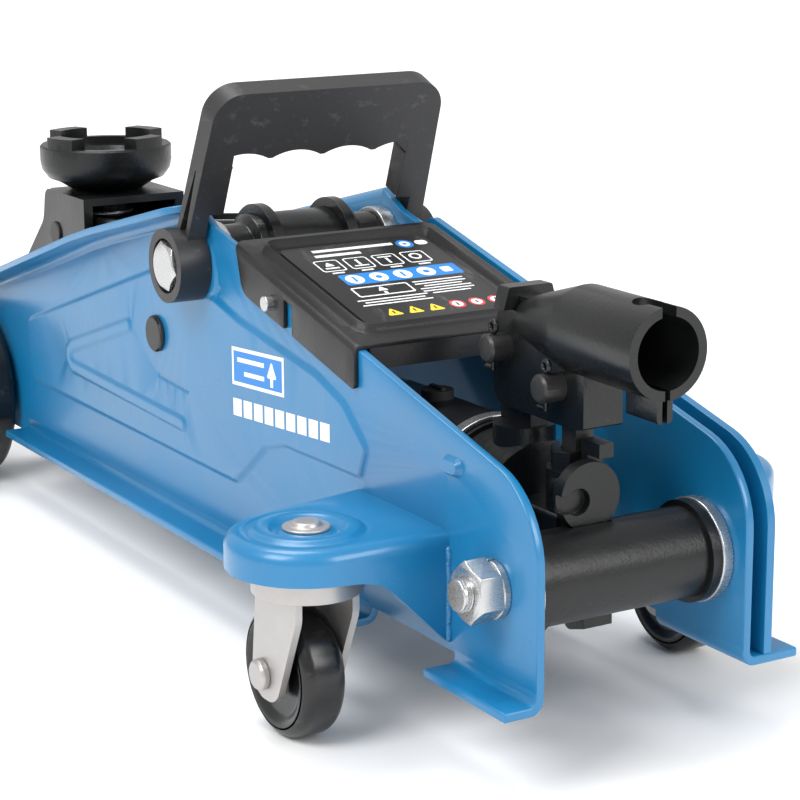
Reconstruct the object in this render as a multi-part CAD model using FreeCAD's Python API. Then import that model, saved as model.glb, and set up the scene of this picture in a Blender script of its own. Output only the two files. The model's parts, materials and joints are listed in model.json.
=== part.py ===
"""Hydraulic trolley jack, millimetres, +X to the saddle end, +Y to the left, +Z up, floor at Z = 0."""
import FreeCAD, Part
import math
import os
from FreeCAD import Vector as V

# ---- side frame ----------------------------------------------------------------------------
sheet = 3.0                # side plate sheet
inner_half = 36.6          # mid-plane to the inner face of a side plate
nose_x = 452.0             # front edge of the side plates
frame_bottom = 25.0        # floor to the underside of the frame
foot_front_x = 44.7        # front end of the rear foot flange
flange_rear_x = 95.0       # rear end of the forward bottom flange
flange_front_x = 386.0     # front end of the forward bottom flange
flange_reach = 11.1        # flanges beyond the plate's outer face
notch_rise = 6.0           # plate edge above the frame underside beside the caster
tail_corner_z = 89.7       # height of the sharp rear corner before it is rounded
tail_radius = 28.0         # round of the rear corner
ramp_slope = 0.245         # rise of the rear top edge per unit length
ramp_front_x = 204.0       # front end of the rising top edge
peak_x, peak_z = 218.0, 146.7
kink_x, kink_z = 300.7, 125.7
brow_x, brow_z = 436.0, 82.6
nose_radius = 20.0
bend_fillet = 2.0          # inside round where a flange leaves the plate
emboss_height = 1.2        # pressed panel on the outer face
bead_height = 0.9          # pressed bead on top of the panel
bead_width = 6.0
outer_wall_gap = 5.2       # right side, inner plate to the outer wall
outer_wall_front_x = 200.0
outer_flange_reach = 10.3  # right foot flange beyond the outer wall

# ---- wheels --------------------------------------------------------------------------------
front_axle_x = 430.4
front_axle_radius = 6.0
front_wheel_radius = 38.0
front_wheel_width = 22.0
front_wheel_gap = 1.8      # side plate to front wheel
kingpin_x = 72.7
kingpin_reach = 27.2       # right outer wall to the kingpins
kingpin_radius = 4.0
ear_radius = 25.3          # round end of the caster bracket
ear_top_z = 69.0
ear_skirt_z = 58.0         # lower edge of the bracket's skirt at the round end
ear_sheet = 3.0
bracket_rear_x, bracket_front_x = 47.0, 106.0
yoke_radius = 17.3
yoke_sheet = 2.4
caster_wheel_radius = 21.5
caster_wheel_width = 16.0
caster_trail = 9.0         # kingpin to wheel axle
caster_axle_radius = 3.0
running_gap = 0.05         # radial clearance of a running fit
free_gap = 0.5             # clearance between pieces that move past each other

# ---- lifting linkage -----------------------------------------------------------------------
pivot_x, pivot_z = 216.0, 125.5      # lift arm pivot, also the carry handle bolts
shaft_radius = 8.0
barrel_radius = 15.5                 # arm's pivot barrel
barrel_neck_radius = 12.5
barrel_half = 22.0
arm_length = 172.7                   # pivot to saddle carrier pin
arm_rest_deg = -5.15                 # arm angle above the horizontal at rest
arm_sheet = 4.0
arm_inner_half = 13.0                # mid-plane to the inner face of an arm sheet
arm_depth_rear, arm_depth_front = 26.0, 14.0
carrier_pin_radius = 5.0
link_offset_x, link_offset_z = 34.5, -32.0   # link pins from the arm pins
link_pin_radius = 4.0
link_sheet = 5.0
link_inner_half = 24.5
link_depth = 14.0
crank_radius = 50.0                  # arm pivot to crank pin
crank_rest_deg = 33.6                # crank angle behind straight down at rest
crank_pin_radius = 5.0
carrier_half = 22.8
carrier_wall = 4.0
carrier_rear_x, carrier_front_x = 358.0, 399.0
carrier_top_z = 128.0
carrier_sheet = 3.0                  # carrier's top sheet
saddle_x = 385.6
saddle_radius = 27.7
saddle_rim_z = 147.0
saddle_tooth_rise = 4.3
stem_radius = 9.0

# ---- hydraulic unit ------------------------------------------------------------------------
tube_x, tube_z = 22.0, 58.0          # rear cross tube axis
tube_radius = 14.3
tie_rod_radius = 5.0
ram_z = 66.0                         # ram, cylinder and reservoir axis
ram_radius = 12.0
cylinder_wall = 4.0
reservoir_radius = 25.0
reservoir_wall = 2.5
block_front_x = 80.0
reservoir_front_x = 148.0
head_length = 8.0
yoke_length = 23.0                   # ram yoke along X
pump_x = 37.0
plunger_radius = 5.0
pump_radius = 9.5
pump_top_z = 86.0
gland_height = 6.0
valve_y, valve_z = 5.5, 80.7         # release valve axis
valve_radius = 10.8
valve_rear_x = 22.0
valve_stem_radius = 3.0
post_radius = 10.0
filler_x = 118.0
overload_x, overload_z = 47.5, 54.5  # overload valve on the block's left side
block_half = 16.0

# ---- handle socket -------------------------------------------------------------------------
socket_z = 129.4
socket_radius = 13.9
socket_bore = 10.9
mouth_x = -7.2
bore_depth = 34.0
hinge_x, hinge_z = 66.0, 119.0       # socket hinge
pump_pin_z = 112.0
socket_pin_radius = 4.5
socket_pin_half = 15.0
split_pin_inset = 3.2                # from the pin's end to its split pin
cheek_outer = 7.2
cheek_inner = 3.7
tongue_half = 3.3                    # half thickness of the pieces between the cheeks
gusset_x = 24.0
cheek_bottom_z = 100.0

# ---- cover and carry handle ----------------------------------------------------------------
cover_sheet = 1.6
cover_rear_x, cover_front_x = 101.5, 187.5
cover_skirt = 13.0
cover_rim = 2.6                      # raised rim round the label panel
cover_pin_x, cover_pin_z = 157.8, 120.7
boss_radius = 13.3
boss_gap, boss_depth = 0.2, 12.0     # handle boss from the plate's panel, and its length
handle_lean_deg = 22.3
handle_height = 69.2                 # bolt axis to the top of the bar
handle_thick = 9.0
leg_inset = 0.6                      # handle leg inside the plate's inner face
leg_reach_low, leg_reach_top = 9.1, 5.7   # handle leg beyond the plate's outer face
leg_step = 22.0                      # bolt axis to the step where a leg clears the side plate
bar_bottom = 42.7                    # bolt axis to the finger scallops' cusps
scallop_pitch, scallop_rise = 20.7, 3.0
bolt_across = 16.0                   # hexagon across the flats

# ---- derived -------------------------------------------------------------------------------
plate_outer = inner_half + sheet
flange_edge = plate_outer + flange_reach
panel_face = plate_outer + emboss_height
wall_inner = plate_outer + outer_wall_gap
wall_outer = wall_inner + sheet
right_foot_edge = wall_outer + outer_flange_reach
kingpin_y = wall_outer + kingpin_reach
boss_inner = panel_face + boss_gap
boss_outer = boss_inner + boss_depth
leg_inner = inner_half - leg_inset
leg_outer_low, leg_outer_top = plate_outer + leg_reach_low, plate_outer + leg_reach_top
notch_z = frame_bottom + notch_rise
front_axle_z = front_wheel_radius
front_wheel_in = plate_outer + front_wheel_gap
front_wheel_out = front_wheel_in + front_wheel_width
caster_z = caster_wheel_radius
caster_sweep = math.hypot(caster_trail + caster_wheel_radius, caster_wheel_width / 2.0)
centre_x = (mouth_x + front_axle_x + front_wheel_radius) / 2.0
rest = math.radians(arm_rest_deg)
arm_dir_x, arm_dir_z = math.cos(rest), math.sin(rest)
tip_x = pivot_x + arm_length * arm_dir_x
tip_z = pivot_z + arm_length * arm_dir_z
link_rear_x, link_rear_z = pivot_x + link_offset_x, pivot_z + link_offset_z
link_front_x, link_front_z = tip_x + link_offset_x, tip_z + link_offset_z
crank_x = pivot_x - crank_radius * math.sin(math.radians(crank_rest_deg))
crank_z = pivot_z - crank_radius * math.cos(math.radians(crank_rest_deg))
arm_outer_half = arm_inner_half + arm_sheet
link_outer_half = link_inner_half + link_sheet
cylinder_radius = ram_radius + cylinder_wall

X, Y, Z = V(1, 0, 0), V(0, 1, 0), V(0, 0, 1)


# ---- shape helpers -------------------------------------------------------------------------
def box(x0, x1, y0, y1, z0, z1):
    return Part.makeBox(x1 - x0, y1 - y0, z1 - z0, V(x0, y0, z0))


def rod_x(radius, x0, x1, y, z):
    return Part.makeCylinder(radius, x1 - x0, V(x0, y, z), X)


def rod_y(radius, y0, y1, x, z):
    return Part.makeCylinder(radius, y1 - y0, V(x, y0, z), Y)


def rod_z(radius, z0, z1, x, y):
    return Part.makeCylinder(radius, z1 - z0, V(x, y, z0), Z)


def rounded(points, radii):
    """Closed wire through the points, each corner rounded by its own radius."""
    ends = []
    for i, here in enumerate(points):
        into = (points[i - 1] - here).normalize()
        out = (points[(i + 1) % len(points)] - here).normalize()
        if radii[i] == 0:
            ends.append((here, None, here))
            continue
        half = into.getAngle(out) / 2.0
        reach = radii[i] / math.tan(half)
        middle = (into + out).normalize()
        through = here + middle * (radii[i] / math.sin(half) - radii[i])
        ends.append((here + into * reach, through, here + out * reach))
    edges = []
    for i, (first, through, last) in enumerate(ends):
        if through is not None:
            edges.append(Part.Arc(first, through, last).toShape())
        following = ends[(i + 1) % len(ends)][0]
        if last.distanceToPoint(following) > 1e-6:
            edges.append(Part.LineSegment(last, following).toShape())
    return Part.Wire(edges)


def prism(points, radii, push):
    return Part.Face(rounded(points, radii)).extrude(push)


def prism_y(outline, y0, y1, radius=0.0):
    """Solid from an outline of (x, z) or (x, z, corner radius) between two Y planes."""
    points = [V(p[0], y0, p[1]) for p in outline]
    return prism(points, [p[2] if len(p) > 2 else radius for p in outline], V(0, y1 - y0, 0))


def prism_x(outline, x0, x1, radius=0.0):
    points = [V(x0, p[0], p[1]) for p in outline]
    return prism(points, [p[2] if len(p) > 2 else radius for p in outline], V(x1 - x0, 0, 0))


def prism_z(outline, z0, z1, radius=0.0):
    points = [V(p[0], p[1], z0) for p in outline]
    return prism(points, [p[2] if len(p) > 2 else radius for p in outline], V(0, 0, z1 - z0))


def turned(profile, base, axis):
    """Solid of revolution from (radius, height) pairs, heights along the axis from the base point."""
    points = [V(r, 0, h) for r, h in profile]
    solid = Part.Face(Part.makePolygon(points + points[:1])).revolve(V(0, 0, 0), Z, 360)
    solid.Placement = FreeCAD.Placement(base, FreeCAD.Rotation(Z, axis))
    return solid


def mirror(shape):
    return shape.mirror(V(0, 0, 0), Y)


def join(*shapes):
    whole = shapes[0]
    for other in shapes[1:]:
        whole = whole.fuse(other)
    return whole.removeSplitter()


def cut(shape, *tools):
    for tool in tools:
        shape = shape.cut(tool)
    return shape


def group(*shapes):
    return Part.makeCompound(list(shapes))


def hex_prism(across, y0, y1, x, z, turn_deg):
    corner = across / math.sqrt(3.0)
    angles = [math.radians(60 * i + turn_deg) for i in range(6)]
    return prism_y([(x + corner * math.cos(a), z + corner * math.sin(a)) for a in angles], y0, y1)


def hex_piece(across, y0, y1, x, z, turn_deg):
    """Hexagon along +Y whose outer corners are turned off at 30 degrees."""
    corner = across / math.sqrt(3.0) + 0.01
    face = across * 0.47
    height = y1 - y0
    bevel = (corner - face) * math.tan(math.radians(30))
    profile = [(0, 0), (corner, 0), (corner, height - bevel), (face, height), (0, height)]
    return hex_prism(across, y0, y1, x, z, turn_deg).common(turned(profile, V(x, y0, z), Y))


def bar_outline(x0, z0, x1, z1, half0, half1):
    """Outline of a tapered bar between two points, its ends square and reaching past them."""
    run = V(x1 - x0, 0, z1 - z0).normalize()
    side = V(-run.z, 0, run.x)
    a, b = V(x0, 0, z0) - run * half0, V(x1, 0, z1) + run * half1
    corners = [a - side * half0, b - side * half1, b + side * half1, a + side * half0]
    radii = [half0, half1, half1, half0]
    return [(c.x, c.z, r * 0.98) for c, r in zip(corners, radii)]


def save(name, shape):
    shape = shape.copy()
    shape.translate(V(-centre_x, 0, 0))
    shape.exportStep("parts/" + name + ".step")


# ---- side frame ----------------------------------------------------------------------------
def ramp_z(x):
    return tail_corner_z + ramp_slope * x


def plate_outline():
    return [(0, frame_bottom), (foot_front_x, frame_bottom), (foot_front_x, notch_z, 2.5),
            (flange_rear_x, notch_z, 2.5), (flange_rear_x, frame_bottom), (nose_x - 5, frame_bottom),
            (nose_x, frame_bottom + 5, 2), (nose_x, brow_z - (nose_x - brow_x) * 0.318, nose_radius),
            (kink_x, kink_z, 12), (peak_x, peak_z, 4), (ramp_front_x, ramp_z(ramp_front_x), 4),
            (0, tail_corner_z, tail_radius)]


def panel_outline():
    return [(383, 76.5, 6), (262, 115.6, 12), (228, 126.5, 8), (206, 117, 8), (184, 111.5, 6), (128, 103, 6),
            (110, 97, 6), (94, 84, 4), (99, 72, 4), (151, 71, 6), (165, 67, 6), (188, 49.5, 8), (380, 49.5, 5)]


def panel_bead():
    """C-shaped pressed bead: a sloping arm, a round front end and a level lower arm."""
    half = bead_width / 2.0
    centre = [(276, 92), (336, 72.5), (333, 65), (230, 63)]
    pieces = []
    for (x0, z0), (x1, z1) in zip(centre, centre[1:]):
        pieces.append(prism_y(bar_outline(x0, z0, x1, z1, half, half), panel_face - emboss_height / 2.0,
                              panel_face + bead_height))
    return join(*pieces)


def flanges(foot_edge, front_edge, front_start):
    """Bottom flanges of a left side plate, folded outwards, with the inside of the fold rounded."""
    top = frame_bottom + sheet
    pieces = []
    for x0, x1, edge in ((0, foot_front_x, foot_edge), (front_start, flange_front_x, front_edge)):
        pieces.append(box(x0, x1, plate_outer - sheet / 2.0, edge, frame_bottom, top))
        corner = box(x0, x1, plate_outer - 0.5, plate_outer + bend_fillet, top - 0.5, top + bend_fillet)
        pieces.append(corner.cut(rod_x(bend_fillet, x0, x1, plate_outer + bend_fillet, top + bend_fillet)))
    return pieces


def top_flange():
    rear, front = peak_x - 2, brow_x
    outline = [(rear, peak_z), (kink_x, kink_z), (front, brow_z), (front, brow_z - sheet),
               (kink_x, kink_z - sheet), (rear, peak_z - sheet)]
    strip = prism_y(outline, plate_outer - sheet / 2.0, flange_edge)
    corner = box(rear - 1, rear + 9, flange_edge - 9, flange_edge + 1, peak_z - 9, peak_z + 2)
    return strip.cut(corner.cut(rod_z(9, peak_z - 9, peak_z + 2, rear + 9, flange_edge - 9)))


def plate_holes():
    reach = wall_outer + 20
    return [rod_y(tie_rod_radius + 0.1, 0, reach, tube_x, tube_z),
            rod_y(tie_rod_radius + 0.1, 0, reach, pivot_x, pivot_z),
            rod_y(link_pin_radius, 0, reach, link_rear_x, link_rear_z),
            rod_y(front_axle_radius, 0, reach, front_axle_x, front_axle_z),
            rod_y(2.7, 0, reach, cover_pin_x, cover_pin_z)]


def side_plate(foot_edge, front_edge, front_start):
    plate = prism_y(plate_outline(), inner_half, plate_outer)
    panel = prism_y(panel_outline(), plate_outer - sheet / 2.0, panel_face)
    pad = rod_y(19, plate_outer - sheet / 2.0, panel_face, pivot_x + 3, pivot_z - 4.5)
    pad = pad.common(prism_y(plate_outline(), 0, flange_edge))
    lance = join(box(43, 50.5, plate_outer - 1, plate_outer + 2, 86.6, 93),
                 rod_y(3.2, plate_outer - 1, plate_outer + 2, 43, 89.8))
    whole = join(plate, panel, pad, panel_bead(), lance, top_flange(), *flanges(foot_edge, front_edge, front_start))
    return cut(whole, *plate_holes())


def right_outer_wall():
    """Second wall of the right side, standing on the wide right flange behind the carry handle."""
    clear = caster_wheel_radius * 2 + 3
    base = frame_bottom + sheet
    outline = [(0, base), (foot_front_x, base), (foot_front_x, clear, 4), (flange_rear_x + 9, clear, 4),
               (flange_rear_x + 9, base), (outer_wall_front_x, base),
               (outer_wall_front_x, ramp_z(outer_wall_front_x), 6), (0, tail_corner_z, tail_radius)]
    wall = prism_y(outline, wall_inner, wall_outer)
    return mirror(cut(wall, *plate_holes()[:1]))


def caster_bracket(face_y):
    """Pressed ear: flat top with ring beads, skirt that runs down to the side plate."""
    y0 = face_y
    def body(inset, z0, z1):
        radius = ear_radius - inset
        flat = [(bracket_rear_x + inset, y0), (bracket_front_x - inset, y0),
                (kingpin_x + radius * 0.97, kingpin_y + radius * 0.22),
                (kingpin_x - radius * 0.97, kingpin_y + radius * 0.22)]
        return join(prism_z(flat, z0, z1), rod_z(radius, z0, z1, kingpin_x, kingpin_y))

    outside = body(0.0, 30.0, ear_top_z)
    inside = body(ear_sheet, 20.0, ear_top_z - ear_sheet)
    below = [(y0 - 1, 20), (kingpin_y + ear_radius + 1, 20), (kingpin_y + ear_radius + 1, ear_skirt_z),
             (y0 + 22, ear_skirt_z, 12), (y0 - 1, 33)]
    shell = outside.cut(inside).cut(prism_x(below, bracket_rear_x - 1, bracket_front_x + 1))
    ring = turned([(10.8, -1.0), (17.8, -1.0), (17.8, 0.4), (16.2, 1.1), (12.4, 1.1), (10.8, 0.4)],
                  V(kingpin_x, kingpin_y, ear_top_z), Z)
    hole = rod_z(kingpin_radius, 0, ear_top_z + 5, kingpin_x, kingpin_y)
    return cut(join(shell, ring), hole)


def kingpin(side):
    """Rivet with its head and washer on top of the ear, spacer below it and a lower head under the yoke."""
    y = kingpin_y * side
    low = yoke_top() - 7.6
    profile = [(0, low), (6.5, low), (6.5, low + 2.4), (kingpin_radius, low + 2.4),
               (kingpin_radius, yoke_top() + free_gap), (9, yoke_top() + free_gap), (9, ear_top_z - ear_sheet),
               (kingpin_radius, ear_top_z - ear_sheet), (kingpin_radius, ear_top_z), (7.5, ear_top_z),
               (7.5, ear_top_z + 1.1), (5, ear_top_z + 1.1), (4.2, ear_top_z + 2.6), (0, ear_top_z + 2.6)]
    return turned(profile, V(kingpin_x, y, 0), Z)


def yoke_top():
    return ear_skirt_z


def caster_yoke(side):
    y = kingpin_y * side
    top = yoke_top()
    arm_in = caster_wheel_width / 2.0 + 0.7
    arm_out = arm_in + yoke_sheet
    cup = turned([(kingpin_radius + running_gap, -yoke_sheet), (yoke_radius - yoke_sheet, -yoke_sheet),
                  (yoke_radius - yoke_sheet, -8.0), (yoke_radius, -8.0), (yoke_radius, -1.5),
                  (yoke_radius - 1.5, 0), (kingpin_radius + running_gap, 0)], V(kingpin_x, y, top), Z)
    half = yoke_radius - 4.5
    axle_x = kingpin_x + caster_trail
    outline = [(kingpin_x - half, top - 3), (kingpin_x - half, 44, 10), (axle_x - 8.2, caster_z - 8, 8),
               (axle_x + 8.2, caster_z - 8, 8), (kingpin_x + half + 1, 42, 12), (kingpin_x + half, top - 3)]
    arms = [prism_y(outline, y + s * arm_in if s > 0 else y - arm_out, y + arm_out if s > 0 else y - arm_in)
            for s in (1, -1)]
    return cut(join(cup, *arms), rod_y(caster_axle_radius, y - 20, y + 20, axle_x, caster_z))


def caster_axle(side):
    y = kingpin_y * side
    arm_out = caster_wheel_width / 2.0 + 0.7 + yoke_sheet
    axle_x = kingpin_x + caster_trail
    r = caster_axle_radius
    profile = [(0, -arm_out - 3), (4, -arm_out - 3), (5, -arm_out - 2), (5, -arm_out), (r, -arm_out),
               (r, arm_out), (5, arm_out), (5, arm_out + 2), (4, arm_out + 3), (0, arm_out + 3)]
    return turned(profile, V(axle_x, y, caster_z), Y)


def wheel(radius, width, bore, hub, dish):
    """Solid wheel on the Y axis about the origin, tread edges turned, sides dished between hub and rim."""
    w = width / 2.0
    edge = width * 0.12
    rim = radius * 0.78
    profile = [(bore, -w), (hub, -w), (hub + dish * 0.4, -w + dish), (rim - dish * 0.4, -w + dish), (rim, -w + 0.4),
               (radius - edge, -w + 0.4), (radius, -w + 0.4 + edge), (radius, w - 0.4 - edge),
               (radius - edge, w - 0.4), (rim, w - 0.4), (rim - dish * 0.4, w - dish),
               (hub + dish * 0.4, w - dish), (hub, w), (bore, w)]
    return turned(profile, V(0, 0, 0), Y)


def caster_wheel(side):
    shape = wheel(caster_wheel_radius, caster_wheel_width, caster_axle_radius + running_gap, 7.0, 2.0)
    shape.translate(V(kingpin_x + caster_trail, kingpin_y * side, caster_z))
    return shape


def front_wheel(side):
    shape = wheel(front_wheel_radius, front_wheel_width, front_axle_radius + running_gap, 13.0, 4.0)
    shape.translate(V(front_axle_x, side * (front_wheel_in + front_wheel_out) / 2.0, front_axle_z))
    return shape


def front_axle():
    reach = front_wheel_out + 4
    return rod_y(front_axle_radius, -reach, reach, front_axle_x, front_axle_z)


def axle_caps():
    """Push-on caps that keep the front wheels on the axle."""
    r = front_axle_radius
    inner = front_wheel_out + free_gap
    profile = [(r, 0), (10.5, 0), (10.5, 1.5), (8, 4.5), (5.5, 5.6), (0, 5.6), (0, 3.6), (r, 3.6)]
    cap = turned(profile, V(front_axle_x, inner, front_axle_z), Y)
    return group(cap, mirror(cap))


# ---- pivots and fasteners of the frame -----------------------------------------------------
def pivot_shaft():
    shaft = rod_y(shaft_radius, -inner_half, inner_half, pivot_x, pivot_z)
    bore = rod_y(tie_rod_radius, inner_half - 22, inner_half + 1, pivot_x, pivot_z)
    return cut(shaft, bore, mirror(bore))


def shaft_collars():
    ring = rod_y(14.0, inner_half - 5.5, inner_half, pivot_x, pivot_z)
    ring = ring.cut(rod_y(shaft_radius, 0, inner_half + 1, pivot_x, pivot_z))
    return group(ring, mirror(ring))


def handle_bolts():
    head = hex_piece(bolt_across, boss_outer - 5.5, boss_outer + 0.9, pivot_x, pivot_z, 12)
    shank = rod_y(tie_rod_radius, inner_half - 20, boss_outer - 5, pivot_x, pivot_z)
    bolt = join(head, shank)
    return group(bolt, mirror(bolt))


def link_pins():
    """Flat-headed stub pins through the side plates that carry the rear ends of the links."""
    head = turned([(0, 0), (6.9, 0), (6.9, 1.4), (6.2, 2), (0, 2)], V(link_rear_x, panel_face, link_rear_z), Y)
    stem = rod_y(link_pin_radius, link_inner_half - 1.5, panel_face + 1, link_rear_x, link_rear_z)
    collar = rod_y(6.5, link_outer_half + free_gap, inner_half, link_rear_x, link_rear_z)
    pin = join(head, stem, collar)
    return group(pin, mirror(pin))


def tie_rod():
    return rod_y(tie_rod_radius, -(wall_outer + 14), plate_outer + 13.7, tube_x, tube_z)


def tie_nuts():
    r = tie_rod_radius

    def nut(face, turn):
        body = hex_piece(bolt_across + 1, face + 2.6, face + 10.6, tube_x, tube_z, turn)
        return body.cut(rod_y(r, face, face + 20, tube_x, tube_z))

    return group(nut(plate_outer, 20), mirror(nut(wall_outer, 5)))


def lock_washers():
    """Split spring washers under the tie rod nuts."""
    def ring(face):
        body = rod_y(9.2, face, face + 2.6, tube_x, tube_z).cut(rod_y(tie_rod_radius + 0.2, face, face + 3, tube_x, tube_z))
        return body.cut(box(tube_x - 0.5, tube_x + 0.5, face, face + 3, tube_z, tube_z + 12))

    return group(ring(plate_outer), mirror(ring(wall_outer)))


def tube_collars():
    """Bright rings between the cross tube's end flanges and the side plates."""
    ring = rod_y(16.6, inner_half - 4, inner_half, tube_x, tube_z).cut(rod_y(tie_rod_radius + 0.2, 0, 60, tube_x, tube_z))
    return group(ring, mirror(ring))


# ---- cover and carry handle ----------------------------------------------------------------
def cover_tray():
    """Folded sheet on the top edges of the side plates, skirts outside them, lip down at the rear."""
    rear, front = cover_rear_x, cover_front_x
    inner = plate_outer + 0.2
    outer = inner + cover_sheet
    under = ramp_z(0) + 0.1

    def strip(x0, x1, low, high, y0, y1):
        outline = [(x0, low + ramp_slope * x0), (x1, low + ramp_slope * x1), (x1, high + ramp_slope * x1),
                   (x0, high + ramp_slope * x0)]
        return prism_y(outline, y0, y1)

    top = strip(rear, front, under, under + cover_sheet, -outer, outer)
    notch = (148.7, 143.3)
    skirts = []
    for x0, x1 in ((rear, notch[1]), (notch[0], front - 8)):
        skirt = strip(x0, x1, under - cover_skirt, under + cover_sheet, inner, outer)
        skirts += [skirt, mirror(skirt)]
    lip = box(rear, rear + cover_sheet, -inner_half + 1, inner_half - 1, ramp_z(rear) - 8, ramp_z(rear) + 1)
    rim = strip(rear + 6, front - 6, under, under + cover_sheet + cover_rim, -35, 35)
    rim = rim.cut(strip(rear + 10, front - 10, under - 1, under + cover_sheet + cover_rim + 1, -31, 31))
    whole = join(top, lip, rim, *skirts)
    holes = []
    for x, z, radius in ((171.7, 121.8, 1.5), (107.6, 108.1, 1.5), (cover_pin_x, cover_pin_z, 2.7)):
        holes.append(rod_y(radius, -outer - 1, outer + 1, x, z))
    return cut(whole, *holes)


def label_plate():
    """Information plate inside the cover's rim."""
    base = ramp_z(0) + 0.1 + cover_sheet
    x0, x1 = cover_rear_x + 12, cover_front_x - 12
    outline = [(x0, base + ramp_slope * x0), (x1, base + ramp_slope * x1), (x1, base + 0.5 + ramp_slope * x1),
               (x0, base + 0.5 + ramp_slope * x0)]
    return prism_y(outline, -29, 29)


def cover_pins():
    pin = rod_y(2.7, inner_half - 1, wall_inner - 0.6, cover_pin_x, cover_pin_z)
    return group(pin, mirror(pin))


def carry_handle():
    """Bail with finger scallops, leaning to the rear, bolted to the side plates at its two bosses."""
    half = handle_thick / 2.0
    outline = [(leg_outer_low, 0), (leg_outer_top, handle_height, 11), (-leg_outer_top, handle_height, 11),
               (-leg_outer_low, 0)]
    bail = prism_x(outline, -half, half)
    opening = [(leg_inner, -1), (leg_inner - 1, bar_bottom + 0.5, 4), (1 - leg_inner, bar_bottom + 0.5, 4), (-leg_inner, -1)]
    bail = bail.cut(prism_x(opening, -half - 1, half + 1))
    low = box(-half - 1, half + 1, -boss_inner, boss_inner, -1, leg_step)
    bail = bail.cut(low)
    arc = (scallop_pitch ** 2 / 4.0 + scallop_rise ** 2) / (2.0 * scallop_rise)
    for k in (-1.5, -0.5, 0.5, 1.5):
        edge = min(abs(k) * scallop_pitch + scallop_pitch / 2.0, leg_inner - 0.8)
        low = abs(k) * scallop_pitch - scallop_pitch / 2.0
        span = sorted((math.copysign(low, k), math.copysign(edge, k)))
        round_bar = rod_x(arc, -half - 1, half + 1, k * scallop_pitch, bar_bottom + scallop_rise - arc)
        bail = bail.cut(round_bar.common(box(-half - 1, half + 1, span[0], span[1], bar_bottom - 2, handle_height)))
    pocket = prism_y([(-half + 2, 9), (half - 2, 9), (0.3, 38), (-0.3, 38)], leg_outer_low - 6, leg_outer_low + 9)
    bail = cut(bail, pocket, mirror(pocket))
    bail.rotate(V(0, 0, 0), Y, -handle_lean_deg)
    bail.translate(V(pivot_x, 0, pivot_z))
    boss = rod_y(boss_radius, boss_inner, boss_outer, pivot_x, pivot_z)
    whole = join(bail, boss, mirror(boss))
    socket = rod_y(bolt_across / math.sqrt(3.0) + 0.6, boss_outer - 5.5, boss_outer + 1, pivot_x, pivot_z)
    bore = rod_y(tie_rod_radius + 0.1, 0, boss_outer, pivot_x, pivot_z)
    return cut(whole, socket, bore, mirror(socket), mirror(bore))


# ---- lifting linkage -----------------------------------------------------------------------
def arm_point(along, above):
    return (pivot_x + along * arm_dir_x - above * arm_dir_z, pivot_z + along * arm_dir_z + above * arm_dir_x)


def arm_plates():
    """Two arm sheets with a crank ear hanging below the pivot."""
    rear, front = arm_depth_rear / 2.0, arm_depth_front / 2.0
    narrow = arm_length - 42
    corners = [arm_point(0, rear), arm_point(narrow, front), arm_point(arm_length, front)]
    lower = [arm_point(arm_length, -front), arm_point(narrow, -front), arm_point(60, -rear), arm_point(24, -rear)]
    ear = 10.0
    outline = [p + (r,) for p, r in zip(corners + lower, (0, 20, 0, 0, 20, 20, 12))]
    outline += [(crank_x + ear, crank_z + 6, 0), (crank_x + ear - 1, crank_z, 0), (crank_x - ear, crank_z, 0),
                (pivot_x - 19, pivot_z, 0)]
    sheet_body = prism_y(outline, arm_inner_half, arm_outer_half)
    tip = rod_y(front, arm_inner_half, arm_outer_half, tip_x, tip_z)
    heel = rod_y(ear, arm_inner_half, arm_outer_half, crank_x, crank_z)
    hub = rod_y(19, arm_inner_half, arm_outer_half, pivot_x, pivot_z)
    plate = join(sheet_body, tip, heel, hub)
    plate = cut(plate, rod_y(barrel_radius, 0, 60, pivot_x, pivot_z),
                rod_y(carrier_pin_radius + running_gap, 0, 60, tip_x, tip_z),
                rod_y(crank_pin_radius, 0, 60, crank_x, crank_z))
    return group(plate, mirror(plate))


def arm_barrel():
    half = inner_half - 5.5 - free_gap
    profile = [(shaft_radius + running_gap, -half), (barrel_neck_radius, -half), (barrel_neck_radius, -barrel_half),
               (barrel_radius, -barrel_half + 1.5), (barrel_radius, barrel_half - 1.5),
               (barrel_neck_radius, barrel_half), (barrel_neck_radius, half), (shaft_radius + running_gap, half)]
    return turned(profile, V(pivot_x, 0, pivot_z), Y)


def arm_web():
    """Cross sheet welded between the arm sheets."""
    top = arm_depth_front / 2.0
    outline = [arm_point(34, top), arm_point(118, top - 3), arm_point(118, top - 7), arm_point(34, top - 4)]
    return prism_y(outline, -arm_inner_half, arm_inner_half)


def crank_pin():
    return rod_y(crank_pin_radius, -arm_outer_half - 1.5, arm_outer_half + 1.5, crank_x, crank_z)


def lower_links():
    half = link_depth / 2.0
    outline = bar_outline(link_rear_x, link_rear_z, link_front_x, link_front_z, half, half)
    link = prism_y(outline, link_inner_half, link_outer_half)
    bore = link_pin_radius + running_gap
    link = cut(link, rod_y(bore, 0, 60, link_rear_x, link_rear_z), rod_y(bore, 0, 60, link_front_x, link_front_z))
    return group(link, mirror(link))


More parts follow.
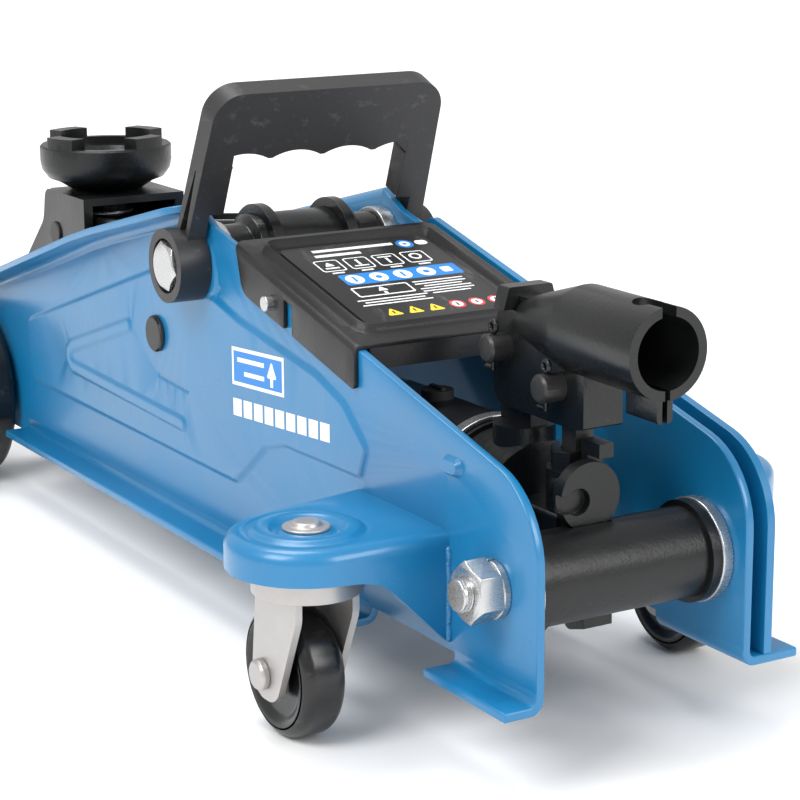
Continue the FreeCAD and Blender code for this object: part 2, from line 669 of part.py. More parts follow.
def saddle_carrier():
    """Open box that stays level: two walls down to the link pin, a top sheet with a boss for the saddle."""
    wall_in = carrier_half - carrier_wall
    top = carrier_top_z
    bx, bz = link_front_x, link_front_z
    outline = [(carrier_rear_x, top), (carrier_front_x, top, 5), (carrier_front_x + 3, top - 14, 10), (bx + 10, bz + 8, 9),
               (bx + 9, bz - 9, 9), (bx - 9, bz - 9, 9), (tip_x - 6, tip_z - 14, 20), (carrier_rear_x + 6, tip_z - 10, 6),
               (carrier_rear_x, top - 16, 4)]
    wall = prism_y(outline, wall_in, carrier_half)
    lid = box(carrier_rear_x, carrier_front_x - 1.5, -carrier_half + 2, carrier_half - 2, top - carrier_sheet, top)
    front = box(carrier_front_x - 2, carrier_front_x, -wall_in - 1, wall_in + 1, top - 18, top - 1)
    boss = rod_z(stem_radius + 3, stem_low() + 2.5, top - 1, saddle_x, 0)
    whole = join(wall, mirror(wall), lid, front, boss)
    return cut(whole, rod_z(stem_radius + running_gap, 0, top + 1, saddle_x, 0),
               rod_y(carrier_pin_radius, -60, 60, tip_x, tip_z),
               rod_y(link_pin_radius, -60, 60, link_front_x, link_front_z))


def stem_low():
    return tip_z + carrier_pin_radius + 2.0


def carrier_pin():
    return rod_y(carrier_pin_radius, -carrier_half - 1, carrier_half + 1, tip_x, tip_z)


def link_front_pin():
    reach = link_outer_half + 1.5
    return rod_y(link_pin_radius, -reach, reach, link_front_x, link_front_z)


def saddle():
    """Dished pad with a stepped rim and four raised teeth, on a stem that turns in the carrier."""
    base = carrier_top_z + 0.3
    r, rim = saddle_radius, saddle_rim_z
    low = stem_low()
    profile = [(0, low), (stem_radius, low), (stem_radius, base), (15, base), (20.5, base + 3.5), (24.5, base + 5),
               (27, base + 8.5), (r, base + 12), (r, rim - 0.8), (r - 0.8, rim), (23.3, rim), (23.3, rim - 3.5),
               (19, rim - 3.5), (17.5, rim - 6), (0, rim - 6)]
    body = turned(profile, V(saddle_x, 0, 0), Z)
    band = rod_z(r - 0.4, rim - 1, rim + saddle_tooth_rise, saddle_x, 0)
    band = band.cut(rod_z(20.5, rim - 2, rim + 6, saddle_x, 0))
    teeth = []
    for k in range(4):
        block = box(0, 40, -7.5, 7.5, rim - 4, rim + 10)
        block.rotate(V(0, 0, 0), Z, 90 * k + 20)
        block.translate(V(saddle_x, 0, 0))
        teeth.append(band.common(block))
    groove = rod_z(stem_radius + 1, low + 1, low + 2.2, saddle_x, 0).cut(rod_z(stem_radius - 1, low, low + 3, saddle_x, 0))
    return join(body, *teeth).cut(groove)


def saddle_clip():
    low = stem_low() + 1
    ring = rod_z(stem_radius + 2, low, low + 1.2, saddle_x, 0).cut(rod_z(stem_radius - 1, low - 1, low + 3, saddle_x, 0))
    return ring.cut(box(saddle_x, saddle_x + 20, -2.5, 2.5, low - 1, low + 3))


# ---- hydraulic unit ------------------------------------------------------------------------
def unit_block():
    """Casting: rear cross tube, block, pump and hinge post, round neck for the cylinder."""
    half = inner_half - 4
    tube = rod_y(tube_radius, -half, half, tube_x, tube_z)
    ends = rod_y(tube_radius + 1.8, half - 3.5, half, tube_x, tube_z)
    lug = prism_y([(25, 38), (35, 35, 3), (40, 50), (25, 50)], -5.2, 5.2)
    rear = prism_x([(-14, 46), (14, 46), (10.3, 64), (10.3, 73, 1.5), (-10.3, 73, 1.5), (-10.3, 64)], 33, 62)
    foot = box(tube_x, 62, -block_half, block_half, 48, 62)
    neck = rod_x(reservoir_radius - 1.5, 56, block_front_x, 0, ram_z)
    pump = rod_z(pump_radius, 60, pump_top_z, pump_x, 0)
    rib_low = valve_z + valve_radius + free_gap
    rib = box(valve_rear_x, pump_x - 5.6, -2.6, 2.6, rib_low, cheek_bottom_z - 3.6)
    rib_foot = box(pump_x - pump_radius + 0.5, pump_x - 5.6, -2.6, 2.6, pump_top_z - 10, cheek_bottom_z - 3.6)
    seat = rod_x(5, pump_x - pump_radius, pump_x, valve_y, valve_z)
    post = rod_z(post_radius, 70, cheek_bottom_z - 6, hinge_x, 0)
    tongue = prism_y([(hinge_x - 8.5, 90), (hinge_x + 8.5, 90), (hinge_x + 8, hinge_z + 8, 7.8),
                      (hinge_x - 8, hinge_z + 8, 7.8)], -tongue_half, tongue_half)
    relief = rod_x(valve_radius + 0.6, valve_rear_x - 1, pump_x - pump_radius, valve_y, valve_z)
    tube = join(tube, ends, mirror(ends), foot).cut(relief)
    whole = join(tube, rear, neck, lug, pump, rib, rib_foot, seat, post, tongue)
    return cut(whole, rod_y(tie_rod_radius + 0.2, -60, 60, tube_x, tube_z),
               rod_z(plunger_radius + running_gap, 62, 110, pump_x, 0),
               rod_x(ram_radius + running_gap, block_front_x - 10, block_front_x + 1, 0, ram_z),
               rod_x(valve_stem_radius + running_gap, 0, pump_x - plunger_radius - 0.5, valve_y, valve_z),
               rod_y(4, 10, 20, overload_x, overload_z),
               rod_y(socket_pin_radius, -20, 20, hinge_x, hinge_z))


def pump_gland():
    low = pump_top_z
    corner = [(pump_x + 9 * math.cos(math.radians(60 * i + 30)), 9 * math.sin(math.radians(60 * i + 30))) for i in range(6)]
    nut = prism_z(corner, low, low + gland_height)
    return cut(nut, rod_z(plunger_radius + running_gap, 0, 120, pump_x, 0), box(0, 32.2, -9, 9, low - 1, low + 9))


def cylinder_tube():
    tube = rod_x(cylinder_radius, block_front_x, reservoir_front_x - 2, 0, ram_z)
    return tube.cut(rod_x(ram_radius + running_gap, 0, 200, 0, ram_z))


def reservoir_tube():
    tube = rod_x(reservoir_radius, block_front_x, reservoir_front_x - 2, 0, ram_z)
    tube = tube.cut(rod_x(reservoir_radius - reservoir_wall, 0, 200, 0, ram_z))
    return tube.cut(rod_z(5.5, ram_z, 120, filler_x, 0))


def reservoir_band():
    ring = rod_x(reservoir_radius + 1.5, 82, 87, 0, ram_z)
    return ring.cut(rod_x(reservoir_radius, 60, 100, 0, ram_z))


def cylinder_head():
    x0 = reservoir_front_x - 2
    profile = [(ram_radius + running_gap, 0), (reservoir_radius, 0), (reservoir_radius, head_length - 3),
               (reservoir_radius - 3, head_length), (ram_radius + running_gap, head_length)]
    return turned(profile, V(x0, 0, ram_z), X)


def filler_plug():
    top = ram_z + reservoir_radius
    return join(rod_z(5.5, top - reservoir_wall - 2, top + 3, filler_x, 0), box(filler_x - 4, filler_x + 4, -1, 1, top + 2, top + 4))


def overload_cap():
    """Blanking screw of the overload valve on the block's left side."""
    cap = hex_piece(11, block_half, block_half + 5, overload_x, overload_z, 0)
    return join(cap, rod_y(4, 10, block_half + 1, overload_x, overload_z))


def ram_rod():
    body = rod_x(ram_radius, block_front_x - 3, crank_x - 9, 0, ram_z)
    return body.cut(rod_x(ram_radius + 1, block_front_x + 2, block_front_x + 5, 0, ram_z).cut(
        rod_x(ram_radius - 2, block_front_x, block_front_x + 8, 0, ram_z)))


def ram_seal():
    ring = rod_x(ram_radius, block_front_x + 2, block_front_x + 5, 0, ram_z)
    return ring.cut(rod_x(ram_radius - 2, block_front_x, block_front_x + 8, 0, ram_z))


def ram_yoke():
    """Fork on the ram: its upright slot drives the arm's crank pin."""
    x0 = crank_x - 11
    half = arm_inner_half - 1.4
    outline = [(x0, 54, 3), (x0 + yoke_length, 54, 3), (x0 + yoke_length, 97, 3), (x0, 97, 3)]
    body = prism_y(outline, -half, half)
    slot = box(crank_x - 5.8, crank_x + 6.7, -20, 20, 75.5 - crank_pin_radius - 0.4, 110)
    return cut(body, slot, rod_x(ram_radius - 3, 0, crank_x - 9, 0, ram_z), rod_x(ram_radius, 0, crank_x - 9, 0, ram_z))


def release_valve():
    """Slotted disc on a short screw."""
    r = valve_radius
    disc = rod_x(r, valve_rear_x, valve_rear_x + 4.5, valve_y, valve_z)
    stem = rod_x(valve_stem_radius, valve_rear_x + 4, pump_x - plunger_radius - 0.9, valve_y, valve_z)
    notch = join(rod_x(4.2, valve_rear_x - 1, valve_rear_x + 3, valve_y + 4.5, valve_z - 1),
                 box(valve_rear_x - 1, valve_rear_x + 3, valve_y + 4.5, valve_y + 14, valve_z - 4.2, valve_z + 1.5))
    return cut(join(disc, stem), notch)


# ---- handle socket and pump ----------------------------------------------------------------
def socket_pin(x, z):
    pin = rod_y(socket_pin_radius, -socket_pin_half + 2, socket_pin_half - 2, x, z)
    head = turned([(0, 0), (socket_pin_radius, 0), (socket_pin_radius, 1.2), (socket_pin_radius - 0.8, 2), (0, 2)],
                  V(x, socket_pin_half - 2, z), Y)
    return join(pin, head, mirror(head))


def split_pin(x, z):
    """Split pin through the left end of a socket pin: round eye on top, two legs bent below."""
    y = socket_pin_half - split_pin_inset
    eye = Part.makeTorus(1.6, 0.8, V(x, y, z + socket_pin_radius + 2.2), Y)
    leg = rod_z(0.8, z - socket_pin_radius - 2.5, z + socket_pin_radius + 1.2, x, y)
    toe = rod_x(0.8, x, x + 4, y, z - socket_pin_radius - 2.0)
    return join(leg, eye, toe)


def pinned(x, z):
    y = socket_pin_half - split_pin_inset
    hole = rod_z(0.8, z - 10, z + 10, x, y)
    return socket_pin(x, z).cut(hole)


def handle_socket():
    """Split tube for the pump lever, tapering to two cheeks that straddle the hinge post and the plunger."""
    tube = rod_x(socket_radius, mouth_x, 33, 0, socket_z)
    rear = Part.Wire(Part.makeCircle(socket_radius, V(33, 0, socket_z), X))
    front = Part.Wire(Part.makeCircle(7.2, V(62, 0, 127.6), X))
    taper = Part.makeLoft([rear, front], True)
    cap = box(50, 69, -4, 4, 120, 135)
    bar = prism_x([(-10, 131), (-8, 138, 1), (8, 138, 1), (10, 131)], 63, 69)
    lobe = box(63, 69, -7, 7, 122, 133)
    cheeks = prism_y([(gusset_x, 128), (gusset_x, cheek_bottom_z + 1, 1), (gusset_x + 5, cheek_bottom_z, 1),
                      (72, cheek_bottom_z, 5), (74, 118, 8), (70, 131, 3), (58, 131)], -cheek_outer, cheek_outer)
    lug = prism_x([(-2.8, 108.5, 1.5), (2.8, 108.5, 1.5), (2.8, 118), (-2.8, 118)], mouth_x + 1.2, 9)
    whole = join(tube, taper, cap, lobe, bar, cheeks, lug)
    slot = join(box(gusset_x + 2.5, 90, -cheek_inner, cheek_inner, 90, 121.5),
                box(54, 90, -cheek_inner, cheek_inner, 90, 129))
    key = join(box(mouth_x - 1, 3, -2.5, 2.5, socket_z, socket_z + 20), rod_z(4.6, socket_z, socket_z + 20, 3, 0))
    split = box(mouth_x - 1, 9.5, -0.9, 0.9, 105, socket_z)
    return cut(whole, slot, rod_x(socket_bore, mouth_x - 1, mouth_x + bore_depth, 0, socket_z), key, split,
               rod_y(socket_pin_radius + running_gap, -30, 30, hinge_x, hinge_z),
               rod_y(socket_pin_radius, -30, 30, pump_x, pump_pin_z))


def pump_plunger():
    """Round plunger, flattened above the gland, with a level slot for the socket's pin."""
    rod = rod_z(plunger_radius, 66, 90, pump_x, 0)
    neck = box(pump_x - 3.7, pump_x + 3.7, -tongue_half, tongue_half, 88, 108)
    head = prism_y([(pump_x - 8.6, 104.5, 3), (pump_x + 10.2, 104.5, 3), (pump_x + 10.2, 119.3, 5), (pump_x - 8.6, 119.3, 8)],
                   -tongue_half, tongue_half)
    gap = 0.35
    r = socket_pin_radius + gap
    left, right = pump_x - 0.7, pump_x + 2.4
    slot = join(rod_y(r, -9, 9, left, pump_pin_z), rod_y(r, -9, 9, right, pump_pin_z),
                box(left, right, -9, 9, pump_pin_z - r, pump_pin_z + r))
    return join(rod, neck, head).cut(slot)


# ---- write every piece ---------------------------------------------------------------------
os.makedirs("parts", exist_ok=True)
save("left_side_plate", side_plate(flange_edge, flange_edge, flange_rear_x))
save("right_side_plate", mirror(side_plate(right_foot_edge, flange_edge, flange_rear_x + 9)))
save("right_outer_wall", right_outer_wall())
save("left_caster_bracket", caster_bracket(plate_outer))
save("right_caster_bracket", mirror(caster_bracket(wall_outer)))
save("kingpins", group(kingpin(1), kingpin(-1)))
for side, name in ((1, "left"), (-1, "right")):
    save(name + "_caster_yoke", caster_yoke(side))
    save(name + "_caster_axle", caster_axle(side))
    save(name + "_caster_wheel", caster_wheel(side))
    save(name + "_front_wheel", front_wheel(side))
save("front_axle", front_axle())
save("axle_caps", axle_caps())
save("pivot_shaft", pivot_shaft())
save("shaft_collars", shaft_collars())
save("handle_bolts", handle_bolts())
save("link_pins", link_pins())
save("tie_rod", tie_rod())
save("tie_nuts", tie_nuts())
save("lock_washers", lock_washers())
save("tube_collars", tube_collars())
save("cover_tray", cover_tray())
save("label_plate", label_plate())
save("cover_pins", cover_pins())
save("carry_handle", carry_handle())
save("arm_plates", arm_plates())
save("arm_barrel", arm_barrel())
save("arm_web", arm_web())
save("crank_pin", crank_pin())
save("lower_links", lower_links())
save("saddle_carrier", saddle_carrier())
save("carrier_pin", carrier_pin())
save("link_front_pin", link_front_pin())
save("saddle", saddle())
save("saddle_clip", saddle_clip())
save("unit_block", unit_block())
save("pump_gland", pump_gland())
save("cylinder_tube", cylinder_tube())
save("reservoir_tube", reservoir_tube())
save("reservoir_band", reservoir_band())
save("cylinder_head", cylinder_head())
save("filler_plug", filler_plug())
save("overload_cap", overload_cap())
save("ram_rod", ram_rod())
save("ram_seal", ram_seal())
save("ram_yoke", ram_yoke())
save("release_valve", release_valve())
save("hinge_pin", pinned(hinge_x, hinge_z))
save("hinge_split_pin", split_pin(hinge_x, hinge_z))
save("plunger_pin", pinned(pump_x, pump_pin_z))
save("plunger_split_pin", split_pin(pump_x, pump_pin_z))
save("handle_socket", handle_socket())
save("pump_plunger", pump_plunger())
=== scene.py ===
import bpy, bmesh, json, math
from mathutils import Vector, Matrix
from mathutils.geometry import delaunay_2d_cdt

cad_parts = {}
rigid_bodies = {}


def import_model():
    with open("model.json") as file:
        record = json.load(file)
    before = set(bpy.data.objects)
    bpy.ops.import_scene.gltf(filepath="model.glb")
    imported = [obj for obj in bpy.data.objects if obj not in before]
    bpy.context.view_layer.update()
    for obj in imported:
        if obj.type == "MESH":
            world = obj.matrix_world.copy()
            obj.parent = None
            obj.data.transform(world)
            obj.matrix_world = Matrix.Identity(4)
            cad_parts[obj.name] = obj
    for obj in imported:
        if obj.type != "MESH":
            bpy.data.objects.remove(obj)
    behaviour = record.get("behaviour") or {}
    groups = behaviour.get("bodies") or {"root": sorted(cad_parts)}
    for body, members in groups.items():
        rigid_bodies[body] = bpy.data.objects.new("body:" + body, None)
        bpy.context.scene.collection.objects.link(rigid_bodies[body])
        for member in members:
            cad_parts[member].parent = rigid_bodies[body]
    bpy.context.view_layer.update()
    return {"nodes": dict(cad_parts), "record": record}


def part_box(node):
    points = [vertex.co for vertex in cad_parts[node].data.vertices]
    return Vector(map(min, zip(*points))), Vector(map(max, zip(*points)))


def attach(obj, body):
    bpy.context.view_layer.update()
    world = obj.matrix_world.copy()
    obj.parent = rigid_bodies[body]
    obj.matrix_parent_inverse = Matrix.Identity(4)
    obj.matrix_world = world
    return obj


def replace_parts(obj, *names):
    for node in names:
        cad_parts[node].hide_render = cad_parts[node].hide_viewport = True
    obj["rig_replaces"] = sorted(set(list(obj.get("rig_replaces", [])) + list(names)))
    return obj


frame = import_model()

print("frame loaded:", len(frame["nodes"]), "nodes")
mm = 0.001
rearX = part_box("left_side_plate")[0].x  # rear edge of the side plates; lengths below are measured from it
scene = bpy.context.scene


def at(x, y, z):
    return Vector((rearX + x * mm, y * mm, z * mm))


# a place on a circle, the angle in radians
def onCircle(u, v, radius, a):
    return u + radius * math.cos(a), v + radius * math.sin(a)


def addObject(name, data):
    obj = bpy.data.objects.new(name, data)
    scene.collection.objects.link(obj)
    return obj


# a node group: inputs are names with their usual values, None for a material
def groupNew(name, inputs, outputs=("Geometry",)):
    growing = "Geometry" in outputs
    tree = bpy.data.node_groups.new(name, "GeometryNodeTree" if growing else "ShaderNodeTree")
    if growing:
        tree.interface.new_socket("Geometry", in_out="INPUT", socket_type="NodeSocketGeometry")
    for label, value in inputs.items():
        word = "Material" if value is None else "Int" if isinstance(value, int) else "Float"
        socket = tree.interface.new_socket(label, in_out="INPUT", socket_type="NodeSocket" + word)
        if value is not None:
            socket.default_value = value
    for label in outputs:
        tree.interface.new_socket(label, in_out="OUTPUT",
                                  socket_type="NodeSocketGeometry" if growing else "NodeSocketFloat")
    return tree, tree.nodes.new("NodeGroupInput"), tree.nodes.new("NodeGroupOutput")


def link(tree, a, b):
    tree.links.new(a, b)


def addNode(tree, kind, **settings):
    node = tree.nodes.new(kind)
    for key, value in settings.items():
        setattr(node, key, value)
    return node


# gives an input a number, or links a socket to it
def feed(tree, node, key, value):
    if isinstance(value, (int, float)):
        node.inputs[key].default_value = value
    else:
        link(tree, value, node.inputs[key])


def mathNode(tree, operation, a, b):
    node = addNode(tree, "ShaderNodeMath", operation=operation)
    feed(tree, node, 0, a)
    feed(tree, node, 1, b)
    return node.outputs[0]


def noiseNode(tree, vector, scale, detail=3.0, rough=0.55):
    node = addNode(tree, "ShaderNodeTexNoise")
    link(tree, vector, node.inputs["Vector"])
    feed(tree, node, "Scale", scale)
    node.inputs["Detail"].default_value = detail
    node.inputs["Roughness"].default_value = rough
    return node.outputs["Fac"]


def rangeNode(tree, value, low, high, toLow, toHigh):
    node = addNode(tree, "ShaderNodeMapRange")
    link(tree, value, node.inputs["Value"])
    for key, number in zip(("From Min", "From Max", "To Min", "To Max"), (low, high, toLow, toHigh)):
        feed(tree, node, key, number)
    return node.outputs[0]


# sprayed paint: slight orange peel, soft tone drift, a few specks of dust
def makePaintFilm():
    tree, gin, gout = groupNew("paintFilm", {"Peel": 420.0, "Drift": 18.0}, ["Height", "Tone", "Dust"])
    where = addNode(tree, "ShaderNodeTexCoord").outputs["Object"]
    peel = noiseNode(tree, where, gin.outputs["Peel"], 1.5, 0.4)
    link(tree, peel, gout.inputs["Height"])
    drift = noiseNode(tree, where, gin.outputs["Drift"], 2.0)
    link(tree, rangeNode(tree, drift, 0.3, 0.7, 0.0, 1.0), gout.inputs["Tone"])
    speck = noiseNode(tree, where, 1900.0, 1.0)
    cloud = noiseNode(tree, where, 26.0, 4.0, 0.65)
    dust = mathNode(tree, "MULTIPLY", rangeNode(tree, speck, 0.62, 0.74, 0.0, 1.0),
                    rangeNode(tree, cloud, 0.45, 0.75, 0.0, 1.0))
    link(tree, dust, gout.inputs["Dust"])
    return tree


# sand-cast skin: coarse grain, shallow pits, mottled tone
def makeCastSkin():
    tree, gin, gout = groupNew("castSkin", {"Grain": 900.0, "Pits": 240.0}, ["Height", "Tone"])
    where = addNode(tree, "ShaderNodeTexCoord").outputs["Object"]
    grain = noiseNode(tree, where, gin.outputs["Grain"], 4.0, 0.6)
    pits = addNode(tree, "ShaderNodeTexVoronoi")
    link(tree, where, pits.inputs["Vector"])
    link(tree, gin.outputs["Pits"], pits.inputs["Scale"])
    hollow = rangeNode(tree, pits.outputs["Distance"], 0.0, 0.35, 0.0, 1.0)
    coarse, pitted = mathNode(tree, "MULTIPLY", grain, 0.7), mathNode(tree, "MULTIPLY", hollow, 0.3)
    link(tree, mathNode(tree, "ADD", coarse, pitted), gout.inputs["Height"])
    link(tree, noiseNode(tree, where, 60.0, 3.0), gout.inputs["Tone"])
    return tree


# plated or turned metal: fine drawn lines one way, cloudy bloom over them
def makePlating():
    tree, gin, gout = groupNew("plating", {"Lines": 2200.0, "Bloom": 120.0}, ["Height", "Tone", "Rough"])
    where = addNode(tree, "ShaderNodeTexCoord").outputs["Object"]
    stretch = addNode(tree, "ShaderNodeMapping")
    stretch.inputs["Scale"].default_value = (1.0, 0.04, 1.0)
    link(tree, where, stretch.inputs["Vector"])
    lines = noiseNode(tree, stretch.outputs[0], gin.outputs["Lines"], 2.0)
    bloom = noiseNode(tree, where, gin.outputs["Bloom"], 4.0, 0.6)
    link(tree, lines, gout.inputs["Height"])
    link(tree, bloom, gout.inputs["Tone"])
    drawn, cloudy = mathNode(tree, "MULTIPLY", lines, 0.5), mathNode(tree, "MULTIPLY", bloom, 0.5)
    link(tree, mathNode(tree, "ADD", drawn, cloudy), gout.inputs["Rough"])
    return tree


# moulded plastic or rubber: fine leathery grain with faint scuffs
def makeMouldGrain():
    tree, gin, gout = groupNew("mouldGrain", {"Grain": 1300.0}, ["Height", "Tone", "Scuff"])
    where = addNode(tree, "ShaderNodeTexCoord").outputs["Object"]
    grain = noiseNode(tree, where, gin.outputs["Grain"], 3.0, 0.6)
    link(tree, grain, gout.inputs["Height"])
    link(tree, noiseNode(tree, where, 30.0, 3.0), gout.inputs["Tone"])
    streak = addNode(tree, "ShaderNodeMapping")
    streak.inputs["Scale"].default_value = (0.3, 1.0, 1.6)
    streak.inputs["Rotation"].default_value = (0.3, 0.7, 0.4)
    link(tree, where, streak.inputs["Vector"])
    scuff = noiseNode(tree, streak.outputs[0], 160.0, 5.0, 0.7)
    link(tree, rangeNode(tree, scuff, 0.58, 0.72, 0.0, 1.0), gout.inputs["Scuff"])
    return tree


paintFilm, castSkin, plating, mouldGrain = makePaintFilm(), makeCastSkin(), makePlating(), makeMouldGrain()


# low and high are the two ends of the colour drift, rough the two ends of the roughness
def finish(name, group, low, high, rough, metallic=0.0, bump=0.1, reach=0.0004, coat=0.0, coatRough=0.08,
           dust=None, values=None, specular=0.5):
    mat = bpy.data.materials.new(name)
    mat.use_nodes = True
    tree = mat.node_tree
    shader = tree.nodes["Principled BSDF"]
    effect = addNode(tree, "ShaderNodeGroup", node_tree=group)
    for key, value in (values or {}).items():
        effect.inputs[key].default_value = value
    mix = addNode(tree, "ShaderNodeMix", data_type="RGBA")
    mix.inputs[6].default_value = (*low, 1)
    mix.inputs[7].default_value = (*high, 1)
    link(tree, effect.outputs["Tone"], mix.inputs[0])
    colour = mix.outputs[2]
    if dust:
        over = addNode(tree, "ShaderNodeMix", data_type="RGBA")
        over.inputs[7].default_value = (*dust, 1)
        key = "Dust" if "Dust" in effect.outputs else "Scuff"
        link(tree, mathNode(tree, "MULTIPLY", effect.outputs[key], 0.16), over.inputs[0])
        link(tree, colour, over.inputs[6])
        colour = over.outputs[2]
    link(tree, colour, shader.inputs["Base Color"])
    driver = effect.outputs["Rough"] if "Rough" in effect.outputs else effect.outputs["Tone"]
    link(tree, rangeNode(tree, driver, 0.25, 0.75, rough[0], rough[1]), shader.inputs["Roughness"])
    shader.inputs["Metallic"].default_value = metallic
    shader.inputs["Coat Weight"].default_value = coat
    shader.inputs["Coat Roughness"].default_value = coatRough
    shader.inputs["Specular IOR Level"].default_value = specular
    relief = addNode(tree, "ShaderNodeBump")
    relief.inputs["Strength"].default_value = bump
    relief.inputs["Distance"].default_value = reach
    link(tree, effect.outputs["Height"], relief.inputs["Height"])
    link(tree, relief.outputs[0], shader.inputs["Normal"])
    return mat


bluePaint = finish("bluePaint", paintFilm, (0.004, 0.150, 0.335), (0.006, 0.170, 0.375), (0.30, 0.38),
                   bump=0.05, coat=0.35, coatRough=0.16, dust=(0.5, 0.6, 0.7))
blackSheet = finish("blackSheet", paintFilm, (0.010, 0.010, 0.011), (0.016, 0.016, 0.017), (0.34, 0.44),
                    bump=0.16, dust=(0.3, 0.3, 0.3), values={"Peel": 900.0}, specular=0.36)
blackPaint = finish("blackPaint", paintFilm, (0.0045, 0.005, 0.0055), (0.008, 0.0085, 0.009), (0.24, 0.36),
                    bump=0.16, coat=0.15, coatRough=0.25, dust=(0.25, 0.25, 0.25), values={"Peel": 650.0},
                    specular=0.32)
blackCast = finish("blackCast", castSkin, (0.004, 0.0045, 0.005), (0.008, 0.0085, 0.009), (0.28, 0.42),
                   bump=0.35, reach=0.0005, coat=0.12, coatRough=0.25, specular=0.32)
handlePlastic = finish("handlePlastic", mouldGrain, (0.014, 0.014, 0.015), (0.020, 0.020, 0.021),
                       (0.38, 0.48), bump=0.16, reach=0.0003, dust=(0.25, 0.25, 0.25))
wheelBlack = finish("wheelBlack", mouldGrain, (0.005, 0.005, 0.0055), (0.009, 0.009, 0.0095), (0.22, 0.34),
                    bump=0.08, reach=0.0003, dust=(0.2, 0.2, 0.2))
sealRubber = finish("sealRubber", mouldGrain, (0.010, 0.010, 0.010), (0.018, 0.018, 0.018), (0.55, 0.7),
                    bump=0.2)
zinc = finish("zinc", plating, (0.47, 0.475, 0.48), (0.54, 0.54, 0.54), (0.24, 0.31),
              metallic=0.9, bump=0.012, reach=0.0002)
dullZinc = finish("dullZinc", plating, (0.40, 0.385, 0.375), (0.52, 0.50, 0.485), (0.34, 0.50),
                  metallic=0.75, bump=0.12, reach=0.0003, values={"Lines": 900.0})
darkSteel = finish("darkSteel", plating, (0.030, 0.030, 0.032), (0.065, 0.064, 0.062), (0.35, 0.5),
                   metallic=0.6, bump=0.1)
brightSteel = finish("brightSteel", plating, (0.68, 0.68, 0.69), (0.80, 0.80, 0.80), (0.08, 0.16),
                     metallic=1.0, bump=0.04)
print("finishes made:", len(bpy.data.materials))


def place(name, mesh, material, body, nodes=(), smooth=True, sharp=35.0):
    obj = addObject(name, mesh)
    for item in material if isinstance(material, (list, tuple)) else [material]:
        mesh.materials.append(item)
    if smooth:
        mesh.polygons.foreach_set("use_smooth", [True] * len(mesh.polygons))
        mesh.set_sharp_from_angle(angle=math.radians(sharp))
    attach(obj, body)
    if nodes:
        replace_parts(obj, *nodes)
    return obj


def meshFrom(bm, name, recalc=True, weld=1e-6):
    bmesh.ops.remove_doubles(bm, verts=bm.verts, dist=weld)
    if recalc:
        bmesh.ops.recalc_face_normals(bm, faces=bm.faces)
    mesh = bpy.data.meshes.new(name)
    bm.to_mesh(mesh)
    bm.free()
    return mesh


def bevelled(obj, width, segments=2, angle=35.0):
    mod = obj.modifiers.new("edgeRound", "BEVEL")
    mod.width = width * mm
    mod.segments = segments
    mod.limit_method = "ANGLE"
    mod.angle_limit = math.radians(angle)
    mod.harden_normals = True
    mod.miter_outer = "MITER_ARC"
    return obj


bodyOf = {n: b for b, ns in frame["record"]["behaviour"]["bodies"].items() for n in ns}
slotOf = {s["node"]: s["material_slot"] for s in frame["record"]["subparts"]}


# a copy of a CAD node with its edges rounded, standing for that node
def soften(node, name, material, width, segments, flat=1.5):
    bm = bmesh.new()
    bm.from_mesh(frame["nodes"][node].data)
    bmesh.ops.remove_doubles(bm, verts=bm.verts, dist=2e-6)
    bmesh.ops.dissolve_limit(bm, angle_limit=math.radians(flat), verts=bm.verts, edges=bm.edges)
    mesh = bpy.data.meshes.new(name)
    bm.to_mesh(mesh)
    bm.free()
    obj = place(name, mesh, material, bodyOf[node], [node])
    return bevelled(obj, width, segments)


# closed turned solid: (radius, height) in millimetres, heights along the axis from the centre
def lathe(profile, centre, axis, steps=64):
    bm = bmesh.new()
    turn = Vector((0, 0, 1)).rotation_difference(Vector(axis)).to_matrix()
    rings = []
    for r, h in profile:
        count = 1 if r < 1e-6 else steps
        spots = [(2 * math.pi * i / steps, h * mm) for i in range(count)]
        rings.append([bm.verts.new(centre + turn @ Vector((r * mm * math.cos(a), r * mm * math.sin(a), z)))
                      for a, z in spots])
    closed = profile[0][0] > 1e-6 and profile[-1][0] > 1e-6
    pairs = list(zip(rings, rings[1:])) + ([(rings[-1], rings[0])] if closed else [])
    for a, b in pairs:
        for i in range(steps):
            j = (i + 1) % steps
            ring = [a[i % len(a)], a[j % len(a)], b[j % len(b)], b[i % len(b)]]
            face = [v for k, v in enumerate(ring) if v not in ring[:k]]
            if len(face) > 2:
                bm.faces.new(face)
    return bm


# rounds the corners of an open (radius, height) profile by the amount given for each point
def roundProfile(profile, amounts, pieces=4):
    out = []
    for i, (r, h) in enumerate(profile):
        amount = amounts[i] if i < len(amounts) else 0
        if not amount or i in (0, len(profile) - 1):
            out.append((r, h))
            continue
        p = Vector((r, h))
        a = (Vector(profile[i - 1]) - p).normalized()
        b = (Vector(profile[i + 1]) - p).normalized()
        for k in range(pieces + 1):
            t = k / pieces
            q = (p + a * amount) * (1 - t) ** 2 + p * 2 * t * (1 - t) + (p + b * amount) * t ** 2
            out.append((q.x, q.y))
    return out


def smoothStep(t):
    t = max(0.0, min(1.0, t))
    return t * t * (3 - 2 * t)


# signed distance to a closed polygon, positive inside
def insidePolygon(x, z, points):
    best, inside = 1e9, False
    for i, (x1, z1) in enumerate(points):
        x0, z0 = points[i - 1]
        dx, dz = x1 - x0, z1 - z0
        t = max(0.0, min(1.0, ((x - x0) * dx + (z - z0) * dz) / (dx * dx + dz * dz)))
        best = min(best, math.hypot(x - x0 - t * dx, z - z0 - t * dz))
        if (z0 > z) != (z1 > z) and x < (x1 - x0) * (z - z0) / (z1 - z0) + x0:
            inside = not inside
    return best if inside else -best


